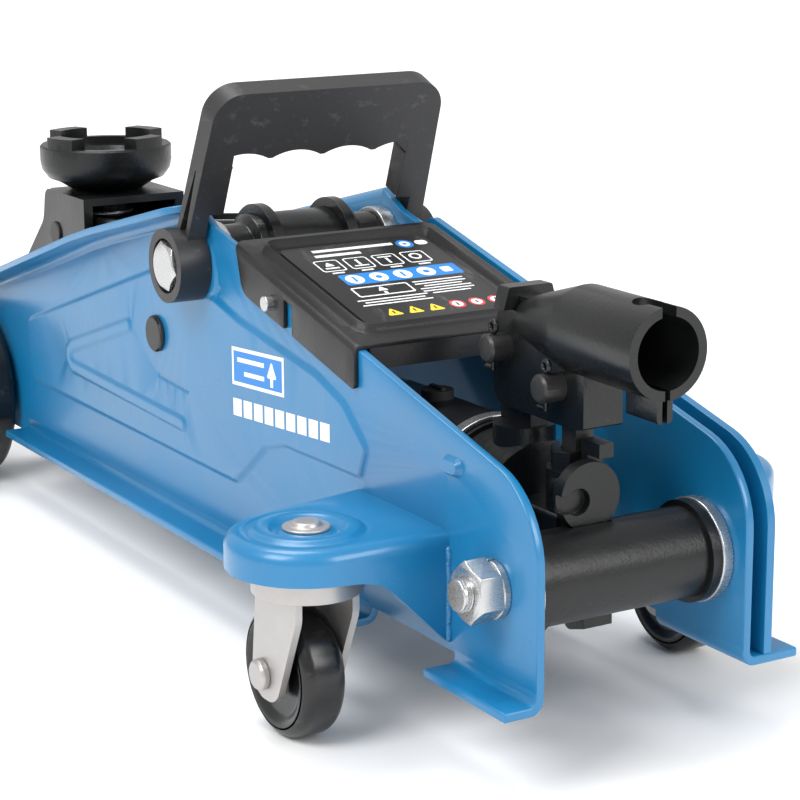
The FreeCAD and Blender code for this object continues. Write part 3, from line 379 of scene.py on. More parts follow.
def toLine(x, z, points):
    best = 1e9
    for (x0, z0), (x1, z1) in zip(points, points[1:]):
        dx, dz = x1 - x0, z1 - z0
        t = max(0.0, min(1.0, ((x - x0) * dx + (z - z0) * dz) / (dx * dx + dz * dz)))
        best = min(best, math.hypot(x - x0 - t * dx, z - z0 - t * dz))
    return best


# polygon with its corners rounded, arcs cut in steps of the given degrees
def roundedPath(points, radii, step=8.0):
    out = []
    for i, p in enumerate(points):
        p = Vector(p)
        a = (Vector(points[i - 1]) - p).normalized()
        b = (Vector(points[(i + 1) % len(points)]) - p).normalized()
        r = radii[i]
        if r == 0:
            out.append(p)
            continue
        half = a.angle(b) / 2
        centre = p + (a + b).normalized() * (r / math.sin(half))
        start = p + a * (r / math.tan(half)) - centre
        end = p + b * (r / math.tan(half)) - centre
        sweep = start.angle_signed(end)
        count = max(2, int(abs(math.degrees(sweep)) / step))
        for k in range(count + 1):
            turn = Matrix.Rotation(-sweep * k / count, 2)
            out.append(centre + turn @ start)
    return [tuple(p) for p in out]


# inward offset of a closed polygon, mitred
def insetLoop(points, amount):
    area = sum(a[0] * b[1] - b[0] * a[1] for a, b in zip(points, points[1:] + points[:1]))
    side = 1 if area > 0 else -1
    out = []
    for i, p in enumerate(points):
        a, b = points[i - 1], points[(i + 1) % len(points)]
        u = Vector((p[0] - a[0], p[1] - a[1])).normalized()
        v = Vector((b[0] - p[0], b[1] - p[1])).normalized()
        n = Vector((-u.y - v.y, u.x + v.x)) * side
        n.normalize()
        lean = max(0.3, abs(n.dot(Vector((-v.y, v.x)))))
        out.append((p[0] + n.x * amount / lean, p[1] + n.y * amount / lean))
    return out


# points along lines a set distance from a path, kept where nothing else on the path is nearer
def levelPoints(path, closed, distances, spacing=1.2):
    measure = (lambda x, z: insidePolygon(x, z, path)) if closed else (lambda x, z: toLine(x, z, path))
    ends = zip(path, path[1:] + path[:1]) if closed else zip(path, path[1:])
    out = []
    for a, b in [(Vector(p), Vector(q)) for p, q in ends]:
        run = (b - a).length
        if run < 1e-6:
            continue
        u = (b - a) / run
        n = Vector((-u.y, u.x))
        for d in distances:
            for k in range(max(1, int(run / spacing)) + 1):
                p = a + u * run * k / max(1, int(run / spacing))
                for q in (p + n * d, p - n * d):
                    if abs(measure(q.x, q.y) - d) < 0.04:
                        out.append((q.x, q.y))
    for p in [Vector(q) for q in path]:
        for d in distances:
            for k in range(0, 360, 20):
                q = p + Vector((math.cos(math.radians(k)), math.sin(math.radians(k)))) * d
                if d and abs(measure(q.x, q.y) - d) < 0.04:
                    out.append((q.x, q.y))
    return out


def thinOut(points, apart=0.3):
    kept, cells = [], set()
    for p in points:
        key = (round(p[0] / apart), round(p[1] / apart))
        if not any((key[0] + i, key[1] + j) in cells for i in (-1, 0, 1) for j in (-1, 0, 1)):
            cells.add(key)
            kept.append(p)
    return kept


# triangles filling a closed outline, with extra points inside it
def fillOutline(outline, inner=()):
    points = [Vector(p) for p in outline]
    points += [Vector(p) for p in inner if insidePolygon(p[0], p[1], outline) > 0.25]
    verts, _, faces, *_ = delaunay_2d_cdt(points, [], [list(range(len(outline)))], 1, 1e-4)
    return verts, faces


def bridge(bm, loops):
    for a, b in zip(loops, loops[1:]):
        for i in range(len(a)):
            bm.faces.new((a[i - 1], a[i], b[i], b[i - 1]))


# sheet with rounded edges standing on an outline: toSpace(u, v, depth) gives the place of a point
def pressedSheet(bm, outline, thick, toSpace, inner=(), edge=0.5, relief=None):
    loops = []
    steps = [(edge, 0.0), (edge * 0.3, edge * 0.3), (0.0, edge), (0.0, thick - edge),
             (edge * 0.3, thick - edge * 0.3), (edge, thick)]
    for amount, depth in steps:
        ring = insetLoop(outline, amount) if amount else outline
        loops.append([bm.verts.new(toSpace(u, v, depth)) for u, v in ring])
    bridge(bm, loops)
    face = insetLoop(outline, edge)
    for depth, extra in ((0.0, inner), (thick, inner if relief is None else ())):
        verts, faces = fillOutline(face, extra)
        lift = relief if relief and depth == 0.0 else (lambda u, v: 0.0)
        made = [bm.verts.new(toSpace(p.x, p.y, depth - lift(p.x, p.y))) for p in verts]
        for f in faces:
            bm.faces.new([made[i] for i in f])


# closed bar through a row of same-size rings, ends drawn in a little
def barThrough(bm, rings):
    rows = [[bm.verts.new(p) for p in ring] for ring in rings]
    bridge(bm, rows)
    bm.faces.new(rows[0])
    bm.faces.new(list(reversed(rows[-1])))


# folded edge: section of a flange leaving the plate face at "face", its flat side at "level"
def foldSection(face, thick, level, reach, down, inner=2.0, leg=2.0):
    s = -1 if down else 1
    out = [(face - thick - 0.02, level + s * (inner + thick + leg))]
    centre = (face + inner, level + s * (inner + thick))
    for k in range(0, 91, 10):
        a = math.radians(k)
        out.append((centre[0] - (inner + thick) * math.cos(a), centre[1] - s * (inner + thick) * math.sin(a)))
    for k in range(0, 91, 30):
        a = math.radians(k)
        out.append((reach - 0.7 + 0.7 * math.sin(a), level + s * 0.7 - s * 0.7 * math.cos(a)))
    for k in range(0, 91, 30):
        a = math.radians(k)
        out.append((reach - 0.7 + 0.7 * math.cos(a), level + s * (thick - 0.7) + s * 0.7 * math.sin(a)))
    for k in range(90, -1, -15):
        a = math.radians(k)
        out.append((centre[0] - inner * math.cos(a) + 0.02, centre[1] - s * inner * math.sin(a)))
    out.append((face + 0.02, level + s * (inner + thick + leg)))
    return out


sidePlate = {"inner": 36.6, "thick": 3.0, "bottom": 25.0, "notch": 31.0, "footFront": 44.7,
             "notchFront": 95.0, "flangeFront": 386.0, "nose": 452.0, "noseSlope": 0.318, "flangeReach": 50.7,
             "rightReach": 58.1, "panelRise": 1.2, "panelWall": 2.6, "padRadius": 19.0, "pad": (219.0, 121.0),
             "beadRise": 0.9, "beadHalf": 3.4, "bumpRise": 1.9, "ramp": (89.7, 0.245), "peak": (218.0, 146.7),
             "kink": (300.7, 125.7), "brow": (436.0, 82.6), "flangeRear": 216.0, "foldHeight": 5.4}
panelPath = roundedPath([(383, 76.5), (262, 115.6), (228, 126.5), (206, 117), (184, 111.5), (128, 103),
                         (110, 97), (94, 84), (99, 72), (151, 71), (165, 67), (188, 49.5), (380, 49.5)],
                        [6, 12, 8, 8, 6, 6, 6, 4, 4, 6, 6, 8, 5], 15)
beadPath = [(276, 92), (332, 73.8), (335.6, 71.2), (336, 67.6), (332.5, 65.2), (230, 63)]
bumpPath = [(43, 89.8), (47.3, 89.8)]
groovePath = [(225.2, 76.5), (250.3, 77.6)]
creasePath = [(199.7, 118.3), (204.8, 114.8)]


def plateRelief(x, z):
    s = sidePlate
    panel = smoothStep(insidePolygon(x, z, panelPath) / s["panelWall"])
    pad = smoothStep((s["padRadius"] - math.hypot(x - s["pad"][0], z - s["pad"][1])) / 2.0)
    rise = s["panelRise"] * max(panel, pad)
    rise += s["beadRise"] * smoothStep((s["beadHalf"] - toLine(x, z, beadPath)) / 2.0)
    rise += s["bumpRise"] * smoothStep((3.2 - toLine(x, z, bumpPath)) / 1.2)
    for path in (groovePath, creasePath):
        rise -= 0.55 * smoothStep((1.3 - toLine(x, z, path)) / 1.1)
    return rise


def reliefPoints():
    s = sidePlate
    wall = [s["panelWall"] * k for k in (-0.16, 0.02, 0.25, 0.5, 0.75, 0.98, 1.16)]
    points = []
    for d in wall:
        shifted = insetLoop(panelPath, d)
        points += [p for a, b in zip(shifted, shifted[1:] + shifted[:1])
                   for p in [(a[0] + (b[0] - a[0]) * k / 24, a[1] + (b[1] - a[1]) * k / 24)
                             for k in range(0, 24, max(1, int(24 * 1.3 / max(1.3, math.dist(a, b)))))]
                   if abs(insidePolygon(p[0], p[1], panelPath) - d) < 0.1]
    points += levelPoints(beadPath, False, [0.4, 1.4, 1.9, 2.4, 2.9, 3.4, 3.8])
    points += levelPoints(bumpPath, False, [0.5, 1.9, 2.3, 2.6, 2.9, 3.2, 3.6], 0.8)
    for path in (groovePath, creasePath):
        points += path + levelPoints(path, False, [0.25, 0.6, 0.9, 1.3, 1.6], 0.8)
    for k in range(0, 360, 4):
        for r in (16.7, 17.0, 17.5, 18.0, 18.5, 19.0, 19.4):
            points.append(onCircle(*s["pad"], r, math.radians(k)))
    return thinOut(points)


reliefSpots = reliefPoints()


def makeSidePlate(name, side, reach, frontStart, nodes):
    s = sidePlate
    level, slope = s["ramp"]
    low = s["bottom"]
    fold, rear = s["foldHeight"], s["flangeRear"]
    hidden = low + fold  # where the plate sheet starts inside a fold
    peak, kink, brow = s["peak"], s["kink"], s["brow"]
    noseTop = brow[1] - (s["nose"] - brow[0]) * s["noseSlope"]
    corners = [(0, hidden, 0), (s["footFront"], hidden, 0), (s["footFront"] + 0.01, s["notch"], 0),
               (s["notchFront"], s["notch"], 0)]
    if frontStart > s["notchFront"] + 1:  # a plain lower edge between the notch and the flange
        corners += [(s["notchFront"] + 0.01, low, 0), (frontStart, low, 0)]
    corners += [(frontStart + 0.02, hidden, 0),
               (s["flangeFront"], hidden, 0), (s["flangeFront"] + 0.01, low, 0), (s["nose"] - 5, low, 2),
               (s["nose"], low + 5, 2), (s["nose"], noseTop, 20), (brow[0] + 0.01, brow[1], 0),
               (brow[0], brow[1] - fold, 0), (kink[0], kink[1] - fold, 0), (217.6, peak[1] - fold, 0),
               (rear, peak[1] - 0.8, 0),
               (204.0, level + slope * 204, 4), (0, level, 28)]
    outline = roundedPath([c[:2] for c in corners], [c[2] for c in corners], 7)
    face = s["inner"] + s["thick"]
    bm = bmesh.new()
    pressedSheet(bm, outline, s["thick"], lambda u, v, d: at(u, side * (face - d), v), reliefSpots, 0.5,
                 plateRelief)
    for x0, x1, edge in ((0.0, s["footFront"], reach), (frontStart, s["flangeFront"], s["flangeReach"])):
        section = foldSection(face, s["thick"], low, edge, False)
        rings = []
        x0, x1 = x0 + 0.04, x1 - 0.04  # keeps the fold's end faces clear of the plate's own edges
        for x, draw in ((x0, 0.5), (x0 + 0.15, 0.15), (x0 + 0.5, 0),
                        (x1 - 0.5, 0), (x1 - 0.15, 0.15), (x1, 0.5)):
            rings.append([at(x, side * y, z) for y, z in (insetLoop(section, draw) if draw else section)])
        barThrough(bm, rings)
    rings = []
    stops = [rear, 216.15, 216.5, 217.2, 218.4, 220.2, 222.4, 225.0, 288, 292, 296, 299, 301.5, 304, 307, 311,
             435.5, 435.85, brow[0]]
    for x in stops:
        blend = smoothStep((x - 290) / 20)
        a = peak[1] - (x - rear) * 21.0 / 84.7
        b = brow[1] + (brow[0] - x) * (kink[1] - brow[1]) / (brow[0] - kink[0])
        top = min(a, b) - 0.35 * math.sin(math.pi * blend)
        edge = s["flangeReach"] - (9 - math.sqrt(max(0.0, 81 - (225 - x) ** 2)) if x < 225 else 0)
        section = foldSection(face, s["thick"], top, max(edge, face + 3.2), True)
        draw = {rear: 0.5, 216.15: 0.15, 435.85: 0.15, brow[0]: 0.5}.get(x, 0)
        rings.append([at(x, side * y, z) for y, z in (insetLoop(section, draw) if draw else section)])
    barThrough(bm, rings)
    mesh = meshFrom(bm, name + "Mesh", weld=2e-6)
    place(name, mesh, bluePaint, "frame", nodes, sharp=50)


makeSidePlate("leftSidePlate", 1, sidePlate["flangeReach"], 95.0, ["left_side_plate"])
makeSidePlate("rightSidePlate", -1, sidePlate["rightReach"], 104.0, ["right_side_plate"])
print("side plates made")

casterEar = {"across": 25.28, "pinX": 72.7, "pinY": 75.0, "top": 69.0, "skirt": 58.0, "plateSkirt": 33.0,
             "rear": 47.0, "front": 106.0, "edgeRound": 4.5, "thick": 3.0, "ringIn": 10.8, "ringOut": 17.8,
             "ringRise": 1.1, "dish": 0.7, "groove": 0.35,
             "ringsAt": (7.7, 8.2, 8.7, 10.2, 10.7, 11.2, 11.8, 12.5, 14.3, 16.1, 16.8, 17.4, 17.9, 18.3,
                         18.7, 19.1, 19.5)}


def earTop(x, y):
    c = casterEar
    r = math.hypot(x - c["pinX"], y - c["pinY"])
    middle, half = (c["ringIn"] + c["ringOut"]) / 2, (c["ringOut"] - c["ringIn"]) / 2
    ring = c["ringRise"] * smoothStep((half - abs(r - middle)) / 1.7)
    dish = c["dish"] * smoothStep((c["ringIn"] + 0.3 - r) / 0.9) * smoothStep((r - 7.7) / 1.0)
    groove = c["groove"] * smoothStep((0.9 - abs(r - c["ringOut"] - 0.8)) / 0.7)
    return ring - dish - groove


def earOutline(faceY, inset):
    c = casterEar
    r = c["across"] - inset
    path = []
    for x, way in ((c["front"] - inset, 1), (c["rear"] + inset, -1)):
        dx, dy = x - c["pinX"], faceY - c["pinY"]
        far = math.hypot(dx, dy)
        touch = math.atan2(dy, dx) + way * math.acos(min(1.0, r / far))
        path.append((x, touch))
    (x0, a0), (x1, a1) = path
    while a1 < a0:
        a1 += 2 * math.pi
    out = []
    start = Vector(onCircle(c["pinX"], c["pinY"], r, a0))
    for k in range(12):
        out.append(Vector((x0, faceY)).lerp(start, k / 12))
    for k in range(49):
        out.append(Vector(onCircle(c["pinX"], c["pinY"], r, a0 + (a1 - a0) * k / 48)))
    end = out[-1].copy()
    for k in range(1, 13):
        out.append(end.lerp(Vector((x1, faceY)), k / 12))
    return out


def makeCasterEar(name, side, faceY, node):
    c = casterEar
    bm = bmesh.new()
    foot = faceY - 1.2
    flat = earOutline(foot, c["edgeRound"])
    spots = [onCircle(c["pinX"], c["pinY"], r, math.radians(k))
             for r in c["ringsAt"] for k in range(0, 360, 5)]
    verts, faces = fillOutline([tuple(p) for p in flat], [p for p in spots if p[1] > foot + 0.5])
    made = [bm.verts.new(at(p.x, side * p.y, c["top"] + earTop(p.x, p.y))) for p in verts]
    for f in faces:
        bm.faces.new([made[i] for i in f])
    rows = []
    for k in range(0, 7):
        a = math.radians(15 * k)
        ring = earOutline(foot, c["edgeRound"] * (1 - math.sin(a)))
        drop = c["edgeRound"] * (1 - math.cos(a))
        share = {0: 1.0, 1: 0.4}.get(k, 0.0)  # how much of the top's relief reaches this row
        rows.append([at(p.x, side * p.y, c["top"] - drop + earTop(p.x, p.y) * share) for p in ring])
    ring = earOutline(foot, 0.0)
    for k in range(1, 9):
        row = []
        for p in ring:
            away = (p.y - faceY) / 25.0
            lean = away if away < 0.8 else 1.0 - 0.2 * math.exp(-(away - 0.8) / 0.2)
            skirt = c["plateSkirt"] + (c["skirt"] - c["plateSkirt"]) * min(1.0, max(0.0, lean))
            top = c["top"] - c["edgeRound"]
            row.append(at(p.x, side * p.y, top + (skirt - top) * k / 8))
        rows.append(row)
    grid = [[bm.verts.new(p) for p in row] for row in rows]
    for a, b in zip(grid, grid[1:]):
        for i in range(len(a) - 1):
            bm.faces.new((a[i], a[i + 1], b[i + 1], b[i]))
    mesh = meshFrom(bm, name + "Mesh", weld=2e-5)
    if max(mesh.polygons, key=lambda f: f.center.z).normal.z < 0:
        mesh.flip_normals()
    obj = place(name, mesh, bluePaint, "frame", [node], sharp=60)
    solid = obj.modifiers.new("sheet", "SOLIDIFY")
    solid.thickness = c["thick"] * mm
    solid.offset = -1
    solid.use_even_offset = True
    return bevelled(obj, 0.5, 2, 60)


makeCasterEar("leftCasterEar", 1, 39.6, "left_caster_bracket")
makeCasterEar("rightCasterEar", -1, 47.8, "right_caster_bracket")
print("caster ears made")

coverTray = {"rear": 101.5, "front": 187.5, "thick": 1.6, "half": 41.4, "bend": 2.4, "depth": 13.0,
             "sheetTop": 91.4, "slope": 0.245, "rimHalf": 2.4, "rimRise": 2.6, "rim": (109.5, 179.5, 33.0),
             "cornerRound": 5.0, "notch": (143.3, 148.7)}


def makeCoverTray():
    c = coverTray
    flat = c["half"] - c["bend"]
    arc = c["bend"] * math.pi / 2
    reach = flat + arc + c["depth"] + c["thick"] - c["bend"]

    def fold(u, v, depth):
        side = 1 if v >= 0 else -1
        v = abs(v)
        if v <= flat:
            y, z = v, -depth
        elif v <= flat + arc:
            a = (v - flat) / c["bend"]
            r = c["bend"] - depth
            y, z = flat + r * math.sin(a), -c["bend"] + r * math.cos(a)
        else:
            y, z = c["half"] - depth, -c["bend"] - (v - flat - arc)
        return at(u, side * y, c["sheetTop"] + c["slope"] * u + z)

    n0, n1 = c["notch"]
    half = [(c["front"], flat - 2, 3), (c["front"] - 5, flat + arc + 0.5, 3), (c["front"] - 8.5, reach, 5),
            (n1, reach, 1), (n1, flat + arc + 2, 0.5), (n0, flat + arc + 2, 0.5), (n0, reach, 1),
            (c["rear"], reach, 2)]
    corners = [(c["rear"], -reach, 2)] + [(u, -v, r) for u, v, r in reversed(half[:-1])] + half
    loop = roundedPath([p[:2] for p in corners], [p[2] for p in corners], 15)
    outline = []
    for a, b in zip(loop, loop[1:] + loop[:1]):
        count = max(1, int(math.dist(a, b) / 1.5))
        outline += [(a[0] + (b[0] - a[0]) * k / count, a[1] + (b[1] - a[1]) * k / count)
                    for k in range(count)]
    u0, u1, w = c["rim"]
    rim = roundedPath([(u0, -w), (u1, -w), (u1, w), (u0, w)], [c["cornerRound"]] * 4, 15)

    def relief(u, v):
        t = min(1.0, toLine(u, v, rim + rim[:1]) / c["rimHalf"])
        return c["rimRise"] * (0.5 + 0.5 * math.cos(math.pi * t)) if t < 1 else 0.0

    spots = levelPoints(rim + rim[:1], False, [0.0, 0.5, 0.9, 1.3, 1.7, 2.1, 2.4, 2.8], 1.6)
    for side in (-1, 1):
        for k in range(7):
            v = side * (flat + arc * k / 6)
            spots += [(c["rear"] + 0.4 + 1.8 * i, v) for i in range(48)]
    bm = bmesh.new()
    pressedSheet(bm, outline, c["thick"], fold, thinOut(spots), 0.3, relief)
    rings = []
    for y, draw in ((-35.4, 0.4), (-35.0, 0.0), (35.0, 0.0), (35.4, 0.4)):
        top = c["sheetTop"] + c["slope"] * (c["rear"] + 2) + 0.02
        ring = [(c["rear"] + 5, top + 0.7 - draw), (c["rear"] + 2.4, top - draw)]
        ring += [(c["rear"] + 2.4 - (2.4 - draw) * math.sin(math.radians(k)),
                  top - 2.4 + (2.4 - draw) * math.cos(math.radians(k))) for k in range(15, 91, 15)]
        ring += [(c["rear"] + draw, top - 9 + draw), (c["rear"] + 1.6 - draw, top - 9 + draw)]
        ring += [(c["rear"] + 2.4 - (0.8 + draw) * math.sin(math.radians(k)),
                  top - 2.4 + (0.8 + draw) * math.cos(math.radians(k))) for k in range(90, -1, -30)]
        ring += [(c["rear"] + 5, top - 1.0 + draw)]
        rings.append([at(x, y, z) for x, z in ring])
    barThrough(bm, rings)
    mesh = meshFrom(bm, "coverTrayMesh", weld=2e-6)
    place("coverTray", mesh, blackSheet, "frame", ["cover_tray"], sharp=50)


makeCoverTray()
print("cover tray made")


def flatInk(name, colour, rough=0.38):
    light = tuple(min(1.0, v * 1.06 + 0.002) for v in colour)
    return finish(name, mouldGrain, colour, light, (rough, rough + 0.1), bump=0.03, reach=0.0001,
                  dust=(0.35, 0.35, 0.35), values={"Grain": 2200.0})


inkWhite = flatInk("inkWhite", (0.80, 0.81, 0.82))
inkBlue = flatInk("inkBlue", (0.010, 0.19, 0.55))
inkYellow = flatInk("inkYellow", (0.82, 0.60, 0.03))
inkRed = flatInk("inkRed", (0.62, 0.05, 0.04))
inkBlack = flatInk("inkBlack", (0.012, 0.012, 0.013), 0.30)
inks = [inkBlack, inkWhite, inkBlue, inkYellow, inkRed]


# one printed mark: a thin raised shape with square sides
def printMark(bm, outline, toSpace, ink, high, low):
    top = [bm.verts.new(toSpace(u, v, high)) for u, v in outline]
    base = [bm.verts.new(toSpace(u, v, low)) for u, v in outline]
    faces = [bm.faces.new(top), bm.faces.new(list(reversed(base)))]
    for i in range(len(top)):
        faces.append(bm.faces.new((top[i - 1], top[i], base[i], base[i - 1])))
    for face in faces:
        face.material_index = ink


def barMark(u, v, wide, tall, corner=0.0):
    points = [(u - wide / 2, v - tall / 2), (u + wide / 2, v - tall / 2), (u + wide / 2, v + tall / 2),
              (u - wide / 2, v + tall / 2)]
    return roundedPath(points, [corner] * 4, 22) if corner else points


def discMark(u, v, radius, sides=24):
    return [onCircle(u, v, radius, 2 * math.pi * k / sides) for k in range(sides)]


def triMark(u, v, size):
    low = v - size * 0.75
    return roundedPath([(u - size, low), (u + size, low), (u, v + size * 0.95)], [size * 0.16] * 3, 40)


infoLabel = {"rear": 113.5, "front": 175.5, "half": 29.0, "base": 91.4, "thick": 0.44, "slope": 0.245,
             "boxes": 4}


# u runs to the reader's right (towards -Y), v up the slope (towards +X)
def makeInfoLabel():
    c = infoLabel
    middle = (c["rear"] + c["front"]) / 2
    bm = bmesh.new()

    def spot(u, v, high):
        x = middle + v
        return at(x, -u, c["base"] + c["slope"] * x + high)

    wide, tall = 2 * c["half"], c["front"] - c["rear"]
    printMark(bm, barMark(0, 0, wide, tall, 3.0), spot, 0, c["thick"], 0.0)
    inkTop = c["thick"] + 0.03

    def mark(outline, ink, step=0):
        printMark(bm, outline, spot, ink, inkTop + 0.01 * step, c["thick"] - 0.05)

    for v, start, length in ((26.6, -18, 32), (22.6, -19, 18)):  # heading rules
        mark(barMark(start + length / 2, v, length, 1.9), 1)
    for k in range(c["boxes"]):  # outlined boxes, each with its own plain sign
        u = -17.6 + 11.4 * k
        mark(barMark(u, 14.6, 9.4, 9.0, 1.2), 1)
        mark(barMark(u, 14.6, 8.3, 7.9, 0.8), 0, 1)
        if k == 0:
            mark(barMark(u, 12.6, 5.4, 1.0), 1, 2)
            mark(triMark(u, 15.6, 1.9), 1, 2)
        elif k == 1:
            mark(barMark(u, 12.4, 5.6, 0.8), 1, 2)
            mark(barMark(u, 15.2, 1.0, 4.2), 1, 2)
        elif k == 2:
            mark(barMark(u, 17.0, 5.6, 0.8), 1, 2)
            mark(barMark(u, 14.0, 1.0, 4.2), 1, 2)
        else:
            mark(discMark(u, 15.0, 2.4), 1, 2)
            mark(discMark(u, 15.0, 1.5), 0, 3)
        mark(barMark(u, 8.6, 4.6, 0.9), 1)
    mark(discMark(18.5, 25.4, 3.3), 2)  # ring and pill beside the heading
    mark(discMark(18.5, 25.4, 2.1), 1, 1)
    mark(discMark(18.5, 25.4, 0.8), 2, 2)
    mark(barMark(25.2, 25.4, 4.8, 3.6, 1.6), 1)
    mark(barMark(3.5, 2.4, 46.0, 8.4, 1.0), 2)  # blue band with white discs
    for k in range(4):
        mark(discMark(-14.8 + 9.4 * k, 2.4, 3.4), 1, 1)
        mark(discMark(-14.8 + 9.4 * k, 2.4, 1.2) if k % 2 else barMark(-14.8 + 9.4 * k, 2.4, 1.0, 4.0), 2, 2)
    mark(barMark(21.5, 2.4, 4.0, 4.0, 0.8), 1, 1)
    mark(barMark(-9.6, -7.6, 22.0, 7.4, 1.0), 1)  # plain box with a lifting arrow
    mark(barMark(-9.6, -7.6, 20.6, 6.0, 0.7), 0, 1)
    mark(triMark(-9.6, -6.6, 2.0), 1, 2)
    mark(barMark(-9.6, -9.6, 1.2, 1.6), 1, 2)
    for k in range(6):  # fine rules
        mark(barMark(13.5, -4.6 - 1.9 * k, 20.0 - (5.0 if k % 3 == 2 else 0.0), 0.7), 1)
    for k in range(3):
        mark(barMark(-9.6, -13.8 - 1.9 * k, 27.0 - 4.0 * (k % 2), 0.7), 1)
    for k in range(3):  # caution triangles and ring signs
        mark(triMark(-15.5 + 8.0 * k, -24.2, 3.1), 3)
        mark(barMark(-15.5 + 8.0 * k, -24.4, 0.7, 2.2), 0, 1)
        mark(discMark(9.5 + 7.6 * k, -24.0, 2.9), 4)
        mark(discMark(9.5 + 7.6 * k, -24.0, 2.0), 1, 1)
        mark(barMark(9.5 + 7.6 * k, -24.0, 0.8, 2.2), 0, 2)
    mesh = meshFrom(bm, "infoLabelMesh", recalc=False, weld=1e-9)
    place("infoLabel", mesh, inks, "frame", ["label_plate"], smooth=False)


makeInfoLabel()

# side badge: white frame with a lifting arrow, a row of plain blocks under it
sideBadge = {"face": 40.8, "box": (169.5, 94.8, 38.5, 13.6), "stripe": (153.7, 80.2, 71.0, 6.2),
             "blocks": 9}


def makeSideBadge():
    c = sideBadge
    bm = bmesh.new()

    def spot(u, v, high):
        return at(u, c["face"] + high, v)

    def mark(outline, ink, step=0):
        lean = [(u, v - 0.075 * (u - c["box"][0])) for u, v in outline]
        printMark(bm, lean, spot, ink, 0.06 + 0.02 * step, -0.3)

    u, v, wide, tall = c["box"]
    mark(barMark(u, v, wide, tall), 1)
    mark(barMark(u, v, wide - 2.6, tall - 2.6), 2, 1)
    mark(triMark(u - 10.5, v + 1.2, 3.6), 1, 2)
    mark(barMark(u - 10.5, v - 3.0, 2.0, 3.0), 1, 2)
    mark(barMark(u + 5.0, v + 2.5, 20.0, 1.6), 1, 2)
    mark(barMark(u + 2.5, v - 2.2, 15.0, 1.6), 1, 2)
    u, v, wide, tall = c["stripe"]
    piece = wide / c["blocks"]
    for k in range(c["blocks"]):
        mark(barMark(u - wide / 2 + piece * (k + 0.5), v - 0.2, piece - 1.6, tall), 1)
    mesh = meshFrom(bm, "sideBadgeMesh", recalc=False, weld=1e-9)
    place("sideBadge", mesh, inks, "frame", smooth=False)


makeSideBadge()
print("label and badge made")

frontWheel = {"radius": 37.99, "width": 22.0, "bore": 6.05, "hub": 13.0, "dish": 4.0,
              "x": 430.4, "y": 52.4, "z": 38.0}
casterWheel = {"radius": 21.49, "width": 16.0, "bore": 3.05, "hub": 7.0, "dish": 2.0,
               "x": 81.7, "y": 75.0, "z": 21.5}


# moulded wheel: rounded tread edges, rolled rim bead, dished web, raised hub ring
def makeWheel(name, c, side, body, node):
    w, r = c["width"] / 2 - 0.4, c["radius"]
    rim = r * 0.8
    hub, web = c["hub"], w - c["dish"]
    half = [(c["bore"], w + 0.3), (hub - 1.0, w + 0.3), (hub, w - 0.4), (hub + 0.7, web),
            (rim - 3.2, web), (rim - 1.4, w - 0.6), (rim, w), (rim + 1.2, w), (r - 2.6, w),
            (r, w - 2.6), (r, 0.01)]
    amounts = [0, 0.5, 0.5, 0.9, 0.9, 0.7, 0.6, 0, 1.6, 1.6, 0]
    face = roundProfile(half, amounts, 4)
    profile = face + [(p[0], -p[1]) for p in reversed(face)]
    centre = at(c["x"], side * c["y"], c["z"])
    bm = lathe(profile, centre, (0, 1, 0), 72)
    place(name, meshFrom(bm, name + "Mesh", weld=1e-7), wheelBlack, body, [node], sharp=40)


for side, word in ((1, "left"), (-1, "right")):
    makeWheel(word + "FrontWheel", frontWheel, side, word + "_front_roller", word + "_front_wheel")
    makeWheel(word + "CasterWheel", casterWheel, side, word + "_caster_roller", word + "_caster_wheel")
print("wheels made")


# welds and threads: node trees with named inputs, turned into plain meshes before they join a body
def endTree(tree, gin, gout, shape):
    real = addNode(tree, "GeometryNodeRealizeInstances")
    smooth = addNode(tree, "GeometryNodeSetShadeSmooth")
    paint = addNode(tree, "GeometryNodeSetMaterial")
    link(tree, shape, real.inputs[0])
    link(tree, real.outputs[0], smooth.inputs[0])
    link(tree, smooth.outputs[0], paint.inputs["Geometry"])
    link(tree, gin.outputs["Finish"], paint.inputs["Material"])
    link(tree, paint.outputs[0], gout.inputs["Geometry"])
    return tree


# overlapping ripples laid along a seam
def makeWeldTree():
    tree, gin, gout = groupNew("weldBead", {
        "Ripple Pitch": 0.0011, "Bead Width": 0.0022, "Wobble": 0.25, "Seed": 7, "Finish": None})
    curve = addNode(tree, "GeometryNodeMeshToCurve")
    rows = addNode(tree, "GeometryNodeResampleCurve", mode="LENGTH")
    ripple = addNode(tree, "GeometryNodeMeshIcoSphere")
    ripple.inputs["Radius"].default_value = 1.0
    ripple.inputs["Subdivisions"].default_value = 2
    lay = addNode(tree, "GeometryNodeInstanceOnPoints")
    size = addNode(tree, "FunctionNodeRandomValue", data_type="FLOAT")
    link(tree, gin.outputs["Geometry"], curve.inputs[0])
    link(tree, curve.outputs[0], rows.inputs["Curve"])
    link(tree, gin.outputs["Ripple Pitch"], rows.inputs["Length"])
    link(tree, rows.outputs[0], lay.inputs["Points"])
    link(tree, ripple.outputs["Mesh"], lay.inputs["Instance"])
    low = mathNode(tree, "SUBTRACT", 1.0, gin.outputs["Wobble"])
    link(tree, mathNode(tree, "MULTIPLY", low, gin.outputs["Bead Width"]), size.inputs[2])
    link(tree, gin.outputs["Bead Width"], size.inputs[3])
    link(tree, gin.outputs["Seed"], size.inputs["Seed"])
    link(tree, size.outputs[1], lay.inputs["Scale"])
    return endTree(tree, gin, gout, lay.outputs[0])


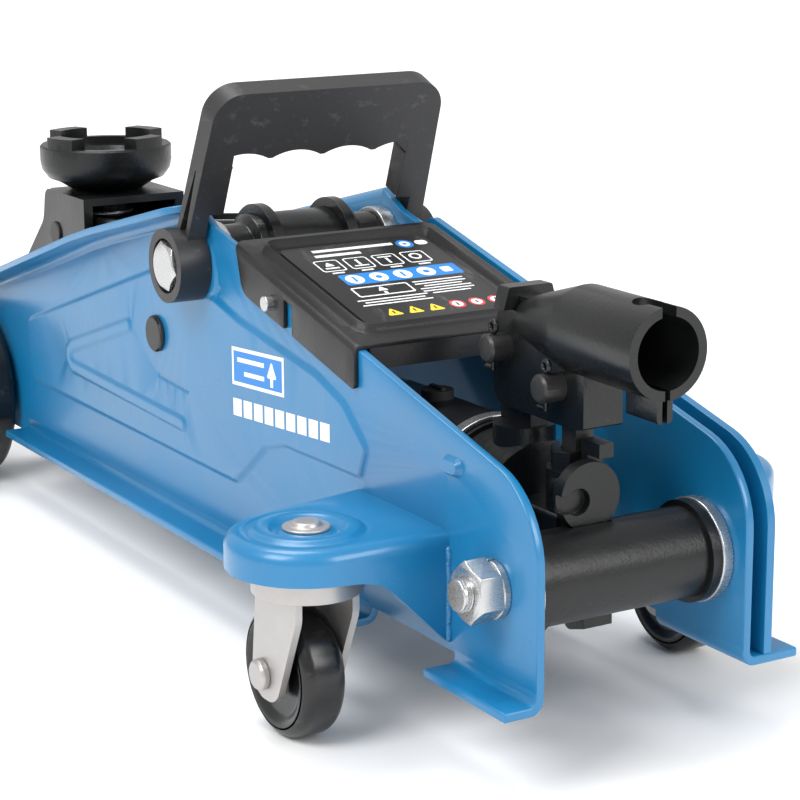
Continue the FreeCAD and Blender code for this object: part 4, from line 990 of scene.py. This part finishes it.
# helical ridge round a rod that runs along Z from the origin
def makeThreadTree():
    tree, gin, gout = groupNew("screwThread", {
        "Radius": 0.005, "Pitch": 0.0015, "Length": 0.012, "Ridge": 0.0006, "Finish": None})
    coil = addNode(tree, "GeometryNodeCurveSpiral")
    coil.inputs["Resolution"].default_value = 28
    turns = mathNode(tree, "DIVIDE", gin.outputs["Length"], gin.outputs["Pitch"])
    link(tree, turns, coil.inputs["Rotations"])
    link(tree, gin.outputs["Radius"], coil.inputs["Start Radius"])
    link(tree, gin.outputs["Radius"], coil.inputs["End Radius"])
    link(tree, gin.outputs["Length"], coil.inputs["Height"])
    ridge = addNode(tree, "GeometryNodeCurvePrimitiveCircle")
    ridge.inputs["Resolution"].default_value = 4
    link(tree, gin.outputs["Ridge"], ridge.inputs["Radius"])
    sweep = addNode(tree, "GeometryNodeCurveToMesh")
    sweep.inputs["Fill Caps"].default_value = True
    link(tree, coil.outputs[0], sweep.inputs["Curve"])
    link(tree, ridge.outputs[0], sweep.inputs["Profile Curve"])
    return endTree(tree, gin, gout, sweep.outputs[0])


weldTree, threadTree = makeWeldTree(), makeThreadTree()


# runs a node tree on a line mesh and returns the plain mesh it makes
def grow(name, points, joins, tree, values):
    mesh = bpy.data.meshes.new(name + "Line")
    mesh.from_pydata(points, joins, [])
    obj = addObject(name + "Line", mesh)
    mod = obj.modifiers.new(tree.name, "NODES")
    mod.node_group = tree
    ids = {i.name: i.identifier for i in tree.interface.items_tree if i.in_out == "INPUT"}
    for label, value in values.items():
        mod[ids[label]] = value
    bpy.context.view_layer.update()
    shown = obj.evaluated_get(bpy.context.evaluated_depsgraph_get())
    plain = bpy.data.meshes.new_from_object(shown)
    bpy.data.objects.remove(obj)
    return plain


def seamMesh(name, paths, width, seed, material):
    points, joins = [], []
    for path in paths:
        start = len(points)
        points += path
        joins += [(start + i, start + i + 1) for i in range(len(path) - 1)]
    return grow(name, points, joins, weldTree, {"Ripple Pitch": width * 0.45 * mm, "Bead Width": width * mm,
                                                "Wobble": 0.22, "Seed": seed, "Finish": material})


def joinMeshes(name, parts):
    bm = bmesh.new()
    for mesh, matrix in parts:
        part = bmesh.new()
        part.from_mesh(mesh)
        part.transform(matrix)
        keep = bpy.data.meshes.new("part")
        part.to_mesh(keep)
        part.free()
        bm.from_mesh(keep)
    out = bpy.data.meshes.new(name)
    bmesh.ops.recalc_face_normals(bm, faces=bm.faces)
    bm.to_mesh(out)
    bm.free()
    return out


weldSeams = {"earWidth": 1.5, "armWidth": 1.2, "hub": (216.0, 125.5), "hubRadius": 15.4}
tieThread = {"radius": 4.75, "pitch": 1.5, "length": 3.0, "ridge": 0.5, "x": 22, "z": 58}


def makeFrameWelds():
    paths = []
    for side, face in ((1, 39.7), (-1, 47.9)):
        for x in (casterEar["rear"] + 0.4, casterEar["front"] - 0.4):
            paths.append([at(x + 0.3 * math.sin(z), side * face, z) for z in range(35, 64, 2)])
    paths.append([at(x, -44.6, 28.2) for x in range(106, 198, 3)])
    mesh = seamMesh("frameWelds", paths, weldSeams["earWidth"], 11, bluePaint)
    place("frameWelds", mesh, [], "frame", sharp=60)


def makeArmWelds():
    arc = [onCircle(*weldSeams["hub"], weldSeams["hubRadius"], math.radians(a)) for a in range(-60, 61, 6)]
    paths = [[at(x, side * y, z) for x, z in arc] for side in (-1, 1) for y in (12.9, 17.1)]
    mesh = seamMesh("armWelds", paths, weldSeams["armWidth"], 23, blackPaint)
    place("armWelds", mesh, [], bodyOf["arm_plates"], sharp=60)


def makeTieThreads():
    c = tieThread
    mesh = grow("tieThread", [(0, 0, 0), (0, 0, 0.001)], [(0, 1)], threadTree,
                {"Radius": c["radius"] * mm, "Pitch": c["pitch"] * mm, "Length": c["length"] * mm,
                 "Ridge": c["ridge"] * mm, "Finish": zinc})
    parts = []
    for y, turn in ((49.6, -math.pi / 2), (-58.0, math.pi / 2)):
        parts.append((mesh, Matrix.Translation(at(c["x"], y, c["z"])) @ Matrix.Rotation(turn, 4, "X")))
    whole = joinMeshes("tieThreads", parts)
    place("tieThreads", whole, zinc, "frame", sharp=70)


makeFrameWelds()
makeArmWelds()
makeTieThreads()
print("welds and threads made")

finishOf = {"blue_paint": bluePaint, "black_sheet": blackSheet, "label_print": blackSheet,
            "black_plastic": handlePlastic, "black_paint": blackPaint, "black_casting": blackCast,
            "zinc": zinc, "dull_steel": dullZinc, "dark_steel": darkSteel, "polished_steel": brightSteel,
            "wheel_black": wheelBlack, "seal_rubber": sealRubber}
# edge rounds in millimetres for the pieces that keep their CAD shape: width, segments
edgeOf = {"carry_handle": (1.2, 3), "handle_socket": (0.8, 3), "saddle": (0.8, 3), "unit_block": (0.9, 3),
          "reservoir_tube": (0.6, 2), "release_valve": (0.8, 3), "ram_yoke": (0.8, 3),
          "right_outer_wall": (0.6, 2), "left_caster_yoke": (0.7, 3), "right_caster_yoke": (0.7, 3),
          "tie_nuts": (0.35, 2), "handle_bolts": (0.35, 2), "hinge_split_pin": (0.1, 1),
          "plunger_split_pin": (0.1, 1), "pump_plunger": (0.2, 2), "ram_rod": (0.2, 2)}
# small parts of the pump that were painted over with the casting
shownAs = {"hinge_split_pin": blackPaint, "plunger_split_pin": blackPaint, "pump_gland": blackCast,
           "pump_plunger": darkSteel}
done = {n for o in bpy.data.objects if "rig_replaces" in o for n in o["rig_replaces"]}
for node in frame["nodes"]:
    if node not in done:
        width, segments = edgeOf.get(node, (0.5, 2))
        soften(node, node + "Soft", shownAs.get(node, finishOf[slotOf[node]]), width, segments)
print("remaining pieces rounded")


def makeStage():
    bm = bmesh.new()
    bmesh.ops.create_grid(bm, x_segments=1, y_segments=1, size=6)
    mesh = bpy.data.meshes.new("floorMesh")
    bm.to_mesh(mesh)
    bm.free()
    floor = addObject("floor", mesh)
    mat = bpy.data.materials.new("paleFloor")
    mat.use_nodes = True
    shader = mat.node_tree.nodes["Principled BSDF"]
    shader.inputs["Base Color"].default_value = (0.95, 0.95, 0.95, 1)
    shader.inputs["Roughness"].default_value = 0.6
    # the floor brightens away from the object, so it runs into the backdrop without an edge
    tree = mat.node_tree
    where = addNode(tree, "ShaderNodeTexCoord")
    away = addNode(tree, "ShaderNodeVectorMath", operation="LENGTH")
    link(tree, where.outputs["Object"], away.inputs[0])
    glow = rangeNode(tree, away.outputs["Value"], 0.3, 1.6, 0.0, 0.36)
    shader.inputs["Emission Color"].default_value = (1, 1, 1, 1)
    link(tree, glow, shader.inputs["Emission Strength"])
    mesh.materials.append(mat)
    world = bpy.data.worlds.new("studio")
    scene.world = world
    world.use_nodes = True
    tree = world.node_tree
    sky = tree.nodes["Background"]
    sky.inputs[0].default_value = (1, 1, 1, 1)
    # the backdrop is seen white while the room lights the object less
    seen = addNode(tree, "ShaderNodeLightPath")
    strength = addNode(tree, "ShaderNodeMapRange")
    strength.inputs["To Min"].default_value = 0.72
    strength.inputs["To Max"].default_value = 1.0
    link(tree, seen.outputs["Is Camera Ray"], strength.inputs["Value"])
    link(tree, strength.outputs[0], sky.inputs[1])


def softLight(name, spot, target, size, watts):
    data = bpy.data.lights.new(name, "AREA")
    data.size = size
    data.energy = watts
    obj = addObject(name, data)
    obj.location = spot
    obj.rotation_euler = (Vector(target) - Vector(spot)).to_track_quat("-Z", "Y").to_euler()


makeStage()
softLight("keyPanel", (-0.35, 1.15, 1.25), (0.05, 0, 0.08), 0.8, 18)
softLight("rearPanel", (-1.5, -0.55, 0.85), (-0.1, 0, 0.1), 0.8, 13)
softLight("topPanel", (0.35, 0.1, 1.6), (0.0, 0, 0.1), 0.7, 12)

camera = addObject("camera", bpy.data.cameras.new("camera"))
scene.camera = camera
viewFrom = {"azimuth": 239.22, "elevation": 13.73, "roll": -0.32, "spot": (-522.3, 396.0, 274.0),
            "lens": 104.4}
azimuth, elevation = math.radians(viewFrom["azimuth"]), math.radians(viewFrom["elevation"])
back = Vector((math.sin(azimuth) * math.cos(elevation), -math.cos(azimuth) * math.cos(elevation),
               math.sin(elevation)))
right = Vector((0, 0, 1)).cross(back).normalized()
up = back.cross(right)
roll = math.radians(viewFrom["roll"])
axes = Matrix((math.cos(roll) * right + math.sin(roll) * up, -math.sin(roll) * right + math.cos(roll) * up,
               back)).transposed()
camera.matrix_world = Matrix.Translation(at(*viewFrom["spot"])) @ axes.to_4x4()
camera.data.lens = viewFrom["lens"]
camera.data.sensor_width = 36
camera.data.clip_start = 0.01
scene.view_settings.view_transform = "Standard"
scene.view_settings.look = "None"
